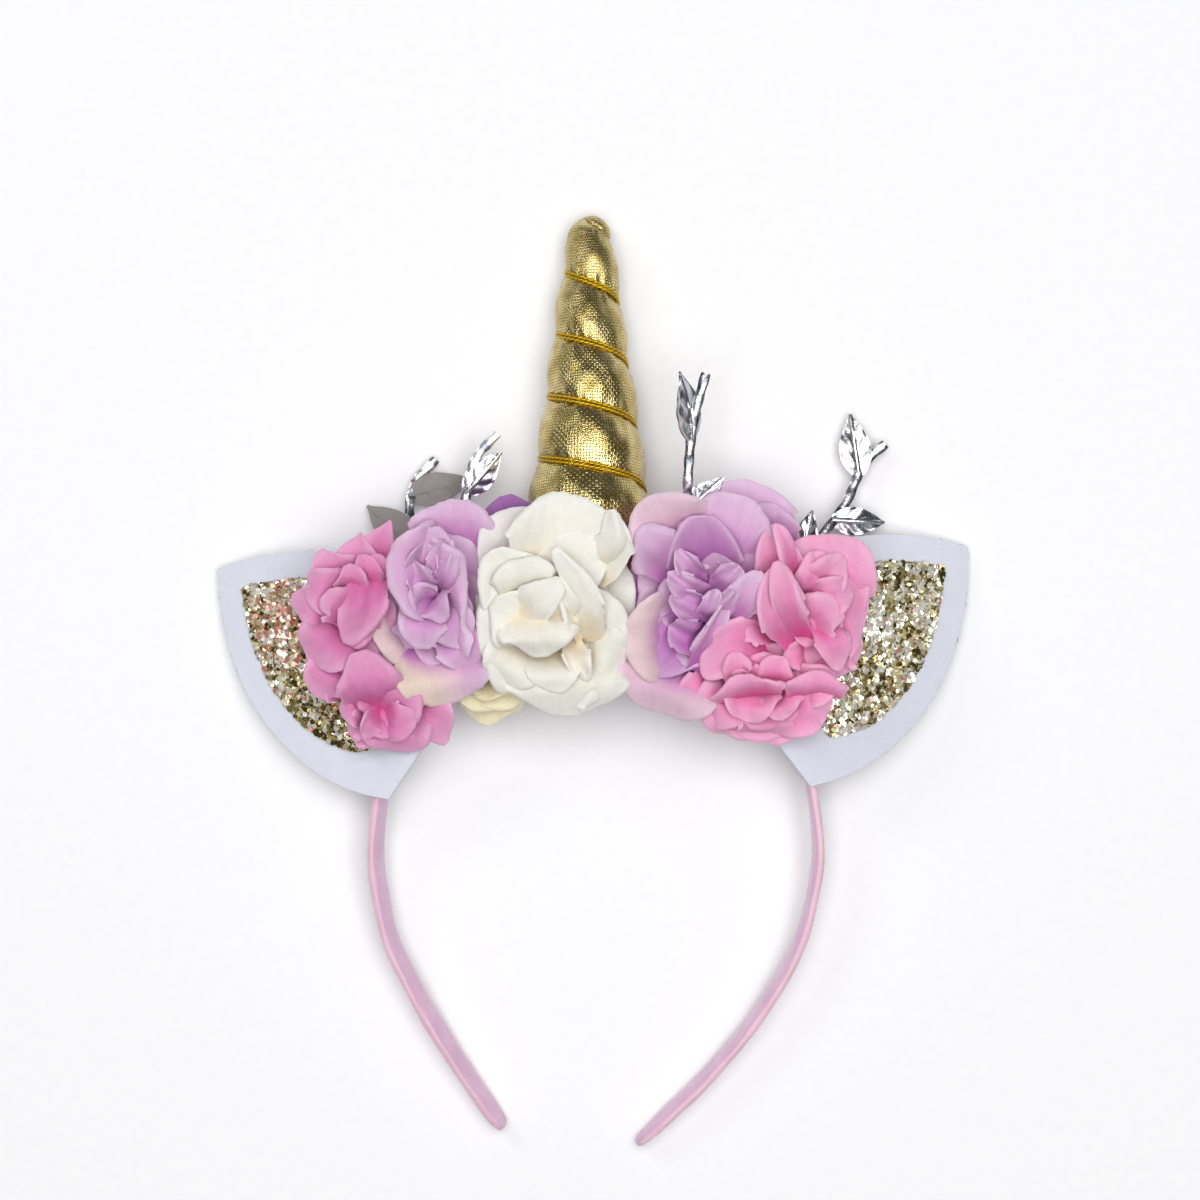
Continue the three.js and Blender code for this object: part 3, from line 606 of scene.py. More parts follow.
def new_material(name: str) -> tuple[bpy.types.Material, Nodes, bpy.types.Node]:
    """Starts a material.

    Args:
        name: Name of the material.

    Returns:
        The material, its nodes and its main shader.
    """
    material = bpy.data.materials.new(name)
    material.use_nodes = True
    material.node_tree.nodes.clear()
    nodes = Nodes(material.node_tree)
    shader = nodes.place("ShaderNodeBsdfPrincipled")
    nodes.place("ShaderNodeOutputMaterial", {"Surface": shader.outputs[0]})
    return material, nodes, shader


def feed(nodes: Nodes, shader: bpy.types.Node, **inputs: Value) -> None:
    """Sets or joins a shader's inputs, written with underscores for spaces.

    Args:
        nodes: The material's nodes.
        shader: Its shader.
        **inputs: Values or outputs of nodes.
    """
    for key, value in inputs.items():
        socket = shader.inputs[key.replace("_", " ")]
        if isinstance(value, bpy.types.NodeSocket):
            nodes.tree.links.new(value, socket)
        else:
            socket.default_value = value


@dataclass(frozen=True)
class PetalCloth:
    """Stiffened polyester petals: darker at the heart, paler at the rim, with a blush of another colour."""

    name: str
    slot: str
    heart: str
    body: str
    edge: str
    blush: str
    deep: float = 0.46
    thread: float = 0.46
    translucence: float = 0.24

    def material(self) -> bpy.types.Material:
        """Builds the material, or finds it if it is there already.

        Returns:
            The material.
        """
        found = bpy.data.materials.get(self.name)
        if found:
            return found
        material, nodes, shader = new_material(self.name)
        rim = nodes.value("rim")
        wander = nodes.maths("SUBTRACT", nodes.noise(160.0, 2.0), 0.5)
        along = nodes.maths("ADD", rim, nodes.maths("MULTIPLY", wander, 0.25), True)
        dye = nodes.ramp(along, [(0.0, ink(self.heart)), (self.deep, ink(self.body)), (0.95, ink(self.edge))])
        dyed = nodes.blend(nodes.value("blush"), dye, ink(self.blush))
        # shade mixes in the heart's colour: partly the heart's deeper dye, partly painted shade in the
        # bloom's hollows and folds.
        deep = nodes.blend(nodes.value("shade"), dyed, ink(self.heart))
        hemmed = nodes.blend(nodes.maths("MULTIPLY", nodes.value("hem"), 0.3), deep, ink(self.edge, 1.12))
        along_petal = {"Vector": nodes.flat(), "Scale": (1.0, 0.14, 1.0)}
        drawn = nodes.place("ShaderNodeMapping", along_petal).outputs[0]
        creases = nodes.noise(0.5, 6.0, drawn)
        # Painted shade in the creases, with faint streaks: where the crease noise dips, the colour darkens a
        # little towards the heart's colour.
        wear_and_crease_shade = nodes.ramp(creases, [(0.3, ink(self.heart)), (0.5, ink("ffffff"))])
        lined = nodes.blend(0.09, hemmed, wear_and_crease_shade, "MULTIPLY")
        mottled = nodes.group(mottle_group(), {"Position": nodes.position(), "Color": lined, "Amount": 0.19})
        weave = nodes.group(weave_group(), {"Flat": nodes.flat(), "Pitch": self.thread, "Looseness": 0.3})
        gaps = nodes.maths("MULTIPLY", weave.outputs["Gap"], 0.16)
        colour = nodes.blend(gaps, mottled.outputs["Color"], ink(self.heart))
        fluff = nodes.group(fibre_group(), {"Position": nodes.position(), "Fineness": 2600.0})
        creased = nodes.bump(creases, 0.35, 0.0008)
        woven = nodes.bump(weave.outputs["Height"], 0.3, 0.0002, creased)
        feed(
            nodes, shader, Base_Color=colour, Roughness=0.72, Subsurface_Weight=self.translucence,
            Subsurface_Radius=(0.9, 0.6, 0.7), Subsurface_Scale=0.0022,
            Sheen_Weight=0.18, Sheen_Roughness=0.5,
            Normal=nodes.bump(fluff.outputs["Height"], 0.3, 0.0003, woven), Specular_IOR_Level=0.25,
        )
        return material


@dataclass(frozen=True)
class Calyx:
    """Moulded plastic under the petals, dull green and brown."""

    name: str = "green_plastic"
    green: str = "4f5a34"
    brown: str = "6b4a2c"

    def material(self) -> bpy.types.Material:
        """Builds the material.

        Returns:
            The material.
        """
        material, nodes, shader = new_material(self.name)
        colour = nodes.blend(nodes.noise(300.0), ink(self.green), ink(self.brown))
        mottled = nodes.group(mottle_group(), {"Position": nodes.position(), "Color": colour, "Amount": 0.2})
        feed(
            nodes, shader, Base_Color=mottled.outputs["Color"], Roughness=0.5,
            Normal=nodes.bump(mottled.outputs["Patches"], 0.3, 0.0004),
        )
        return material


@dataclass(frozen=True)
class Satin:
    """Ribbon satin: smooth, with a soft gloss and a fine diagonal grain."""

    name: str = "mauve_satin"
    lit: str = "efcde5"
    shaded: str = "d39fc3"
    # Painted sheen: a paler, peachier tone for the strip's rounded front and rear edges.
    fold: str = "f0c9c0"

    def material(self) -> bpy.types.Material:
        """Builds the material.

        Returns:
            The material.
        """
        material, nodes, shader = new_material(self.name)
        base = nodes.blend(nodes.noise(120.0), ink(self.lit), ink(self.shaded))
        # Painted sheen: the strip's rounded front and rear edges take the paler, peachier tone.
        lined = nodes.blend(nodes.value("fold"), base, ink(self.fold))
        mottled = nodes.group(mottle_group(), {"Position": nodes.position(), "Color": lined, "Amount": 0.1})
        slant = {"Vector": nodes.flat(), "Rotation": (0.0, 0.0, 0.9), "Scale": (1.0, 0.2, 1.0)}
        slanted = nodes.place("ShaderNodeMapping", slant)
        weave = nodes.group(weave_group(), {"Flat": slanted.outputs[0], "Pitch": 0.2, "Looseness": 0.2})
        pulls = nodes.noise(1.1, 4.0, slanted.outputs[0])
        grain = nodes.bump(weave.outputs["Height"], 0.1, 0.00008)
        rough = nodes.maths("ADD", nodes.maths("MULTIPLY", pulls, 0.2), 0.24)
        feed(
            nodes, shader, Base_Color=mottled.outputs["Color"], Roughness=rough, Specular_IOR_Level=0.6,
            Sheen_Weight=0.35, Sheen_Roughness=0.35, Normal=nodes.bump(pulls, 0.25, 0.0003, grain),
        )
        return material


@dataclass(frozen=True)
class GoldCloth:
    """Lamé: flat metallic threads in an open square grid over a darker ground."""

    name: str = "gold_cloth"
    bright: str = "f3e2a4"
    dull: str = "b89e52"
    ground: str = "1f1b0a"
    pitch: float = 0.8

    def material(self) -> bpy.types.Material:
        """Builds the material.

        Returns:
            The material.
        """
        material, nodes, shader = new_material(self.name)
        weave = nodes.group(weave_group(), {"Flat": nodes.flat(), "Pitch": self.pitch, "Looseness": 0.55})
        # On the lame this noise stands only for wear: threads polished more in some patches than in others.
        wear_and_crease_shade = nodes.noise(220.0, 4.0)
        polish = nodes.ramp(wear_and_crease_shade, [(0.2, ink("000000")), (0.8, ink("ffffff"))])
        thread = nodes.blend(polish, ink(self.dull), ink(self.bright))
        gaps = nodes.maths("MULTIPLY", weave.outputs["Gap"], 0.95)
        colour = nodes.blend(gaps, thread, ink(self.ground))
        crumple = nodes.noise(300.0, 3.0)
        rough = nodes.maths("ADD", nodes.maths("MULTIPLY", weave.outputs["Gap"], 0.2), 0.19)
        woven = nodes.bump(weave.outputs["Height"], 0.4, 0.0003)
        feed(
            nodes, shader, Base_Color=colour, Metallic=0.96, Roughness=rough,
            Normal=nodes.bump(crumple, 0.22, 0.001, woven),
        )
        return material


@dataclass(frozen=True)
class GoldThread:
    """Bright yellow metallic thread, laid in fine twisted strands."""

    name: str = "gold_thread"
    bright: str = "f2cf1c"
    deep: str = "a87a0c"

    def material(self) -> bpy.types.Material:
        """Builds the material.

        Returns:
            The material.
        """
        material, nodes, shader = new_material(self.name)
        twist = nodes.value("twist")
        # Painted light: the crowns of the twisted plies are painted bright and the grooves between them deep.
        colour = nodes.blend(twist, ink(self.deep), ink(self.bright))
        mottled = nodes.group(mottle_group(), {"Position": nodes.position(), "Color": colour, "Amount": 0.2})
        strands = nodes.place("ShaderNodeTexWave", {"Vector": nodes.flat(), "Scale": 1.4, "Distortion": 0.6})
        feed(
            nodes, shader, Base_Color=mottled.outputs["Color"], Metallic=0.75, Roughness=0.3,
            Normal=nodes.bump(strands.outputs[1], 0.35, 0.0001),
        )
        return material


@dataclass(frozen=True)
class Felt:
    """Pressed felt: matt, cool white, with matted fibres."""

    name: str = "white_felt"
    pale: str = "dfe2ec"
    shaded: str = "d2d6e2"

    def material(self) -> bpy.types.Material:
        """Builds the material.

        Returns:
            The material.
        """
        material, nodes, shader = new_material(self.name)
        fibres = nodes.group(fibre_group(), {"Position": nodes.position(), "Fineness": 1500.0})
        base = nodes.blend(fibres.outputs["Height"], ink(self.shaded), ink(self.pale))
        mottled = nodes.group(mottle_group(), {"Position": nodes.position(), "Color": base, "Amount": 0.07})
        soft = nodes.bump(nodes.noise(260.0, 4.0), 0.3, 0.0006)
        feed(
            nodes, shader, Base_Color=mottled.outputs["Color"], Roughness=0.95, Sheen_Weight=0.3,
            Specular_IOR_Level=0.2, Normal=nodes.bump(fibres.outputs["Height"], 0.5, 0.0004, soft),
        )
        return material


@dataclass(frozen=True)
class Glitter:
    """Loose flakes of gold, with some dark ones and some copper ones."""

    name: str = "gold_flakes"
    tones: tuple[str, ...] = ("564a28", "aa9a64", "e6dcb0", "fffdf0", "e8a892")
    shares: tuple[float, ...] = (0.0, 0.17, 0.34, 0.5, 0.95)

    def material(self) -> bpy.types.Material:
        """Builds the material of the flakes.

        Returns:
            The material.
        """
        material, nodes, shader = new_material(self.name)
        stops = [(at, ink(tone)) for at, tone in zip(self.shares, self.tones)]
        colour = nodes.ramp(nodes.value("tone"), stops, steps=True)
        mottled = nodes.group(mottle_group(), {"Position": nodes.position(), "Color": colour, "Amount": 0.12})
        feed(
            nodes, shader, Base_Color=mottled.outputs["Color"], Metallic=0.62,
            Roughness=nodes.maths("ADD", nodes.maths("MULTIPLY", mottled.outputs["Patches"], 0.2), 0.12),
            Normal=nodes.bump(nodes.noise(900.0, 2.0), 0.3, 0.0002),
        )
        return material

    def ground(self) -> bpy.types.Material:
        """Builds the material of the glued sheet under the flakes.

        Returns:
            The material.
        """
        material, nodes, shader = new_material("glitter_ground")
        grains = nodes.place("ShaderNodeTexVoronoi", {"Vector": nodes.position(), "Scale": 1500.0})
        colour = nodes.ramp(grains.outputs[0], [(0.1, ink("3a311b")), (0.6, ink("9a8650"))])
        mottled = nodes.group(mottle_group(), {"Position": nodes.position(), "Color": colour, "Amount": 0.3})
        feed(
            nodes, shader, Base_Color=mottled.outputs["Color"], Metallic=0.7, Roughness=0.4,
            Normal=nodes.bump(grains.outputs[0], 0.6, 0.0003),
        )
        return material


@dataclass(frozen=True)
class Foil:
    """Silver foil pressed on cloth, crinkled, with a dull cloth back."""

    name: str = "silver_foil"
    bright: str = "eff0f4"
    dark: str = "7d808a"
    back_dark: str = "7b7572"
    back_pale: str = "a8a3a1"

    def front(self) -> bpy.types.Material:
        """Builds the material of the foil.

        Returns:
            The material.
        """
        material, nodes, shader = new_material(self.name)
        crinkle = nodes.noise(700.0, 5.0)
        relief = nodes.value("relief")
        # Painted light: the foil is bright on raised parts and dark in the grooves, a painted highlight and
        # painted shade.
        colour = nodes.blend(relief, ink(self.dark), ink(self.bright))
        mottled = nodes.group(mottle_group(), {"Position": nodes.position(), "Color": colour, "Amount": 0.2})
        feed(
            nodes, shader, Base_Color=mottled.outputs["Color"], Metallic=0.97,
            Roughness=nodes.maths("ADD", nodes.maths("MULTIPLY", crinkle, 0.25), 0.12),
            Normal=nodes.bump(crinkle, 0.25, 0.0006),
        )
        return material

    def back(self) -> bpy.types.Material:
        """Builds the material of the cloth back.

        Returns:
            The material.
        """
        material, nodes, shader = new_material("foil_back")
        fibres = nodes.group(fibre_group(), {"Position": nodes.position(), "Fineness": 2200.0})
        colour = nodes.blend(fibres.outputs["Height"], ink(self.back_dark), ink(self.back_pale))
        feed(
            nodes, shader, Base_Color=colour, Roughness=0.85,
            Normal=nodes.bump(fibres.outputs["Height"], 0.5, 0.0003),
        )
        return material


# The hoop

@dataclass
class Band:
    """The hoop: a springy strip covered in satin, turned a little on its arms, with gathered tips."""

    half_width: float = 62.4
    crown: float = 76.5
    left_drop: float = 78.2
    right_drop: float = 82.8
    width: float = 8.4
    thickness: float = 2.6
    tip_taper: float = 11.0
    tip_share: float = 0.3
    left_turn: float = 19.0
    right_turn: float = 8.0
    steps: int = 420
    sides: int = 40
    left_rows: tuple[tuple[float, float], ...] = (
        (0.14, 0.981), (0.31, 0.933), (0.47, 0.84), (0.64, 0.724), (0.8, 0.597), (1.0, 0.428),
    )
    right_rows: tuple[tuple[float, float], ...] = (
        (0.13, 0.977), (0.29, 0.923), (0.44, 0.825), (0.6, 0.686), (0.76, 0.508), (0.88, 0.35), (1.0, 0.182),
    )
    line: Line = field(init=False)

    def __post_init__(self) -> None:
        """Lays the middle line of the strip."""
        left = [(-out * self.half_width, -down * self.left_drop, 0.0) for down, out in self.left_rows]
        right = [(out * self.half_width, -down * self.right_drop, 0.0) for down, out in self.right_rows]
        crown = [tuple(self.oval(degrees)) for degrees in range(180, -1, -15)]
        self.line = Line(through(np.array([*left[::-1], *crown, *right])))

    def oval(self, degrees: float) -> np.ndarray:
        """A point of the crown's oval, degrees up from the right."""
        angle = math.radians(degrees)
        return np.array([self.half_width * math.cos(angle), self.crown * math.sin(angle), 0.0])

    def out(self, degrees: float) -> np.ndarray:
        """The direction out of the hoop there."""
        angle = math.radians(degrees)
        return unit(np.array([math.cos(angle) / self.half_width, math.sin(angle) / self.crown, 0.0]))

    def rings(self, share: np.ndarray, grow: float, sides: int) -> tuple[np.ndarray, np.ndarray, np.ndarray]:
        """Rounded sections of the strip.

        Args:
            share: Shares of the strip's length.
            grow: Extra size on every side.
            sides: Points round each section.

        Returns:
            The points, the way out of each, and how far round the section each is, from 0 at the front.
        """
        centre, along = self.line.at(share), self.line.along(share)
        out = np.stack([-along[:, 1], along[:, 0], 0 * along[:, 0]], axis=-1)
        to_tip = np.minimum(share, 1 - share) * self.line.length
        inset = np.maximum(0, 1 - to_tip / self.tip_taper)
        size = self.tip_share + (1 - self.tip_share) * np.sqrt(1 - inset ** 2)
        arm = np.where(share < 0.5, self.left_turn, self.right_turn)
        angle = np.radians(arm) * smooth(0.12, 0.28, np.abs(share - 0.5))
        front = np.array([0.0, 0.0, 1.0])
        deep = out * np.sin(angle)[:, None] + front * np.cos(angle)[:, None]
        thick = out * np.cos(angle)[:, None] - front * np.sin(angle)[:, None]
        around = np.linspace(-math.pi, math.pi, sides, endpoint=False)
        long = np.sign(np.cos(around)) * np.abs(np.cos(around)) ** 0.36
        short = np.sign(np.sin(around)) * np.abs(np.sin(around)) ** 0.62
        w = (self.width / 2 * size + grow)[:, None, None]
        t = (self.thickness / 2 * size + grow)[:, None, None]
        across_it = deep[:, None] * long[None, :, None] * w
        through_it = thick[:, None] * short[None, :, None] * t
        points = centre[:, None] + across_it + through_it
        ways = unit(deep[:, None] * long[None, :, None] * 0.3 + thick[:, None] * short[None, :, None])
        return points, ways, np.broadcast_to(around, points.shape[:2])

    def build(self) -> bpy.types.Object:
        """Makes the covered strip with its creases, gathered tips and glued seam.

        Returns:
            The strip.
        """
        share = np.linspace(0, 1, self.steps)
        points, ways, around = self.rings(share, 0.0, self.sides)
        run = np.broadcast_to(share[:, None] * self.line.length, around.shape)
        to_tip = np.minimum(share, 1 - share)[:, None] * self.line.length
        flat = np.stack([run * 0.35, self.width * np.cos(around), self.thickness * np.sin(around)], axis=-1)
        pulls = waves(flat, 2.6, 11) * 0.07 + waves(flat * (0.35, 1, 1), 1.4, 12) * 0.04
        gathers = 0.3 * np.exp(-to_tip / 5.0) * np.sin(around * 7 + run * 0.5)
        seam = 0.16 * np.exp(-(((around + 0.5 * math.pi) / 0.22) ** 2))
        points = points + ways * (pulls + gathers + seam)[..., None]
        # Painted sheen on the satin: a mask of the strip's rounded front and rear edges, for a paler,
        # peachier tone.
        fold = smooth(0.72, 1.0, np.abs(np.cos(around))) * 0.35
        skin = Skin("satin_strip", "satin")
        skin.tube(points, np.stack([run, around * 3.5], axis=-1), fold=fold)
        piece = skin.finish(Satin().material())
        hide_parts("band")
        return piece


# The horn

@dataclass
class Horn:
    """The stuffed horn: gold cloth drawn in by a cord that winds up it."""

    x: float = -2.0
    foot: float = 78.1
    length: float = 104.0
    base_radius: float = 14.5
    bulge_radius: float = 17.6
    bulge_at: float = 19.0
    tip_radius: float = 6.6
    pitch: float = 17.9
    groove_at: float = 29.4
    groove_depth: float = 2.3
    front_face: float = 4.2
    pucker: float = 0.34
    dent: float = 0.3
    small_dent: float = 0.12
    pleat: float = 0.5
    pleats: int = 17
    rows: int = 300
    sides: int = 96
    taper: float = field(init=False)
    place: np.ndarray = field(init=False)

    def __post_init__(self) -> None:
        """Works out the taper and where the horn stands."""
        run = self.length - self.tip_radius - self.bulge_at
        self.taper = math.atan2(self.bulge_radius - self.tip_radius, run)
        lean = math.degrees(self.taper) + LYING.tilt
        rise = self.front_face * math.tan(math.radians(lean))
        self.place = shift(self.x, self.foot, 0) @ turn(0, -lean) @ shift(0, rise, 0)

    def radius(self, height: np.ndarray) -> np.ndarray:
        """Radius of the plain cone with its rounded foot and tip.

        Args:
            height: Heights above the foot.

        Returns:
            A radius for each height.
        """
        low = np.clip(height / self.bulge_at, 0, 1)
        foot = self.base_radius + (self.bulge_radius - self.base_radius) * np.sin(low * math.pi / 2)
        cone = self.bulge_radius - (height - self.bulge_at) * math.tan(self.taper)
        dome_from = self.length - self.tip_radius
        up = np.clip((height - dome_from) / self.tip_radius, 0, 1)
        dome = self.tip_radius * np.sqrt(1 - up ** 2)
        return np.where(height < self.bulge_at, foot, np.where(height > dome_from, dome, cone))

    def build(self) -> bpy.types.Object:
        """Makes the cloth with its wound bulges, puckers along the cord and pleats at the foot.

        Returns:
            The horn.
        """
        height = np.linspace(0.0, self.length - 0.05, self.rows)[:, None]
        angle = np.linspace(math.pi, 3 * math.pi, self.sides, endpoint=False)[None, :]
        turns = (height - self.groove_at) / self.pitch + angle / (2 * math.pi)
        away = np.abs(turns - np.round(turns)) * 2
        pinch = self.groove_depth * (1 - np.sqrt(1 - (1 - away) ** 2)) ** 0.9
        radius = self.radius(height)
        round_it = np.stack([np.sin(angle) * radius, np.cos(angle) * radius, height + 0 * angle], axis=-1)
        beside_cord = np.stack([angle * 9 + 0 * height, turns * 2.2], axis=-1)
        pucker = self.pucker * (1 - away) ** 3 * waves(beside_cord, 1.5, 21)
        dents = self.dent * waves(round_it, 9.0, 22) + self.small_dent * waves(round_it, 3.2, 23)
        pleats = self.pleat * np.exp(-height / 5.0) * np.sin(angle * self.pleats)
        fading = np.clip((self.length - height) / 8, 0, 1)
        full = np.maximum(0.2, radius - pinch + (pucker + dents) * fading + pleats)
        points = np.stack([full * np.sin(angle), height + 0 * angle, full * np.cos(angle)], axis=-1)
        skin = Skin("gold_horn", "gold_cloth")
        flat = np.stack([angle * 14 + 0 * height, height + 0 * angle], axis=-1)
        skin.tube(moved(self.place, points)[:, ::-1], flat[:, ::-1])
        piece = skin.finish(GoldCloth().material())
        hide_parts("horn")
        return piece


@dataclass
class HornCord:
    """Two twisted gold threads side by side in the horn's groove."""

    horn: Horn
    strand: float = 0.46
    spread: float = 0.5
    start_at: float = 8.0
    end_short: float = 9.0
    seat: float = 1.15
    twist_length: float = 1.5
    sides: int = 8
    steps: int = 1500

    def strand_rings(self, side: float) -> tuple[np.ndarray, np.ndarray, np.ndarray]:
        """Sections of one thread.

        Args:
            side: Which of the two, -1 or 1.

        Returns:
            The points, the flat positions and how far each point stands out of the twist.
        """
        height = np.linspace(self.start_at, self.horn.length - self.end_short, self.steps)
        height = height + side * self.spread
        angle = (self.horn.groove_at - height + side * self.spread) / self.horn.pitch * 2 * math.pi
        radius = self.horn.radius(height) - self.horn.groove_depth + self.seat
        path = np.stack([radius * np.sin(angle), height, radius * np.cos(angle)], axis=-1)
        along = unit(np.gradient(path, axis=0))
        outward = unit(np.stack([np.sin(angle), 0 * angle, np.cos(angle)], axis=-1))
        across = unit(np.cross(along, outward))
        outward = np.cross(across, along)
        run = np.cumsum(np.linalg.norm(np.gradient(path, axis=0), axis=1))[:, None]
        around = np.linspace(0, 2 * math.pi, self.sides, endpoint=False)[None, :]
        ply = 0.5 + 0.5 * np.cos(2 * (around - run / self.twist_length * math.pi))
        size = self.strand * (0.78 + 0.22 * ply)
        points = path[:, None] + across[:, None] * (size * np.cos(around))[..., None]
        points = points + outward[:, None] * (size * np.sin(around))[..., None]
        flat = np.stack([run + 0 * around, around * self.strand + 0 * run], axis=-1)
        return moved(self.horn.place, points), flat, ply

    def build(self) -> bpy.types.Object:
        """Makes both threads.

        Returns:
            The cord.
        """
        skin = Skin("gold_cord", "gold_cord")
        for side in (-1, 1):
            rings, flat, ply = self.strand_rings(side)
            # twist is painted light on the thread: bright on the crowns of the plies, deep in the grooves.
            skin.tube(rings, flat, twist=ply)
        piece = skin.finish(GoldThread().material())
        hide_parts("horn_cord")
        return piece


# The ears

@dataclass(frozen=True)
class Outline:
    """A pointed leaf outline: Bezier handles of one side, along and across, as shares of the ear's length."""

    root: float
    half: float
    first: tuple[float, float]
    second: tuple[float, float]
    tip: float

    def side(self, share: np.ndarray, length: float) -> tuple[np.ndarray, np.ndarray]:
        """Half width and distance up the ear.

        Args:
            share: From 0 at the root to 1 at the tip.
            length: The ear's length.

        Returns:
            Half widths and heights, in millimetres.
        """
        back = 1 - share
        ways = (back ** 3, 3 * back ** 2 * share, 3 * back * share ** 2, share ** 3)
        across = (self.half, self.first[1], self.second[1], 0.0)
        along = (self.root, self.first[0], self.second[0], self.tip)
        return (
            length * sum(w * x for w, x in zip(ways, across)),
            length * sum(w * y for w, y in zip(ways, along)),
        )


class Side(Enum):
    """The two ears, as seen from the front."""

    RIGHT = 1
    LEFT = -1


NEAR_TIP = 0.9985
FLAKE_SIDES = 6
DARKEST, PALEST, COPPER = 0.0, 0.94, 1.0


@dataclass(frozen=True)
class Patch:
    """A soft round patch of the hoop's plane in which the glitter differs."""

    middle: tuple[float, float]
    reach: float

    def over(self, spots: np.ndarray) -> np.ndarray:
        """How much of the patch there is at places, from 0 to 1."""
        return np.exp(-np.sum(((spots - self.middle) / self.reach) ** 2, axis=1))


WARM = Patch((-88.0, 66.0), 9.0)
GLOOM = Patch((-72.0, 40.0), 8.0)


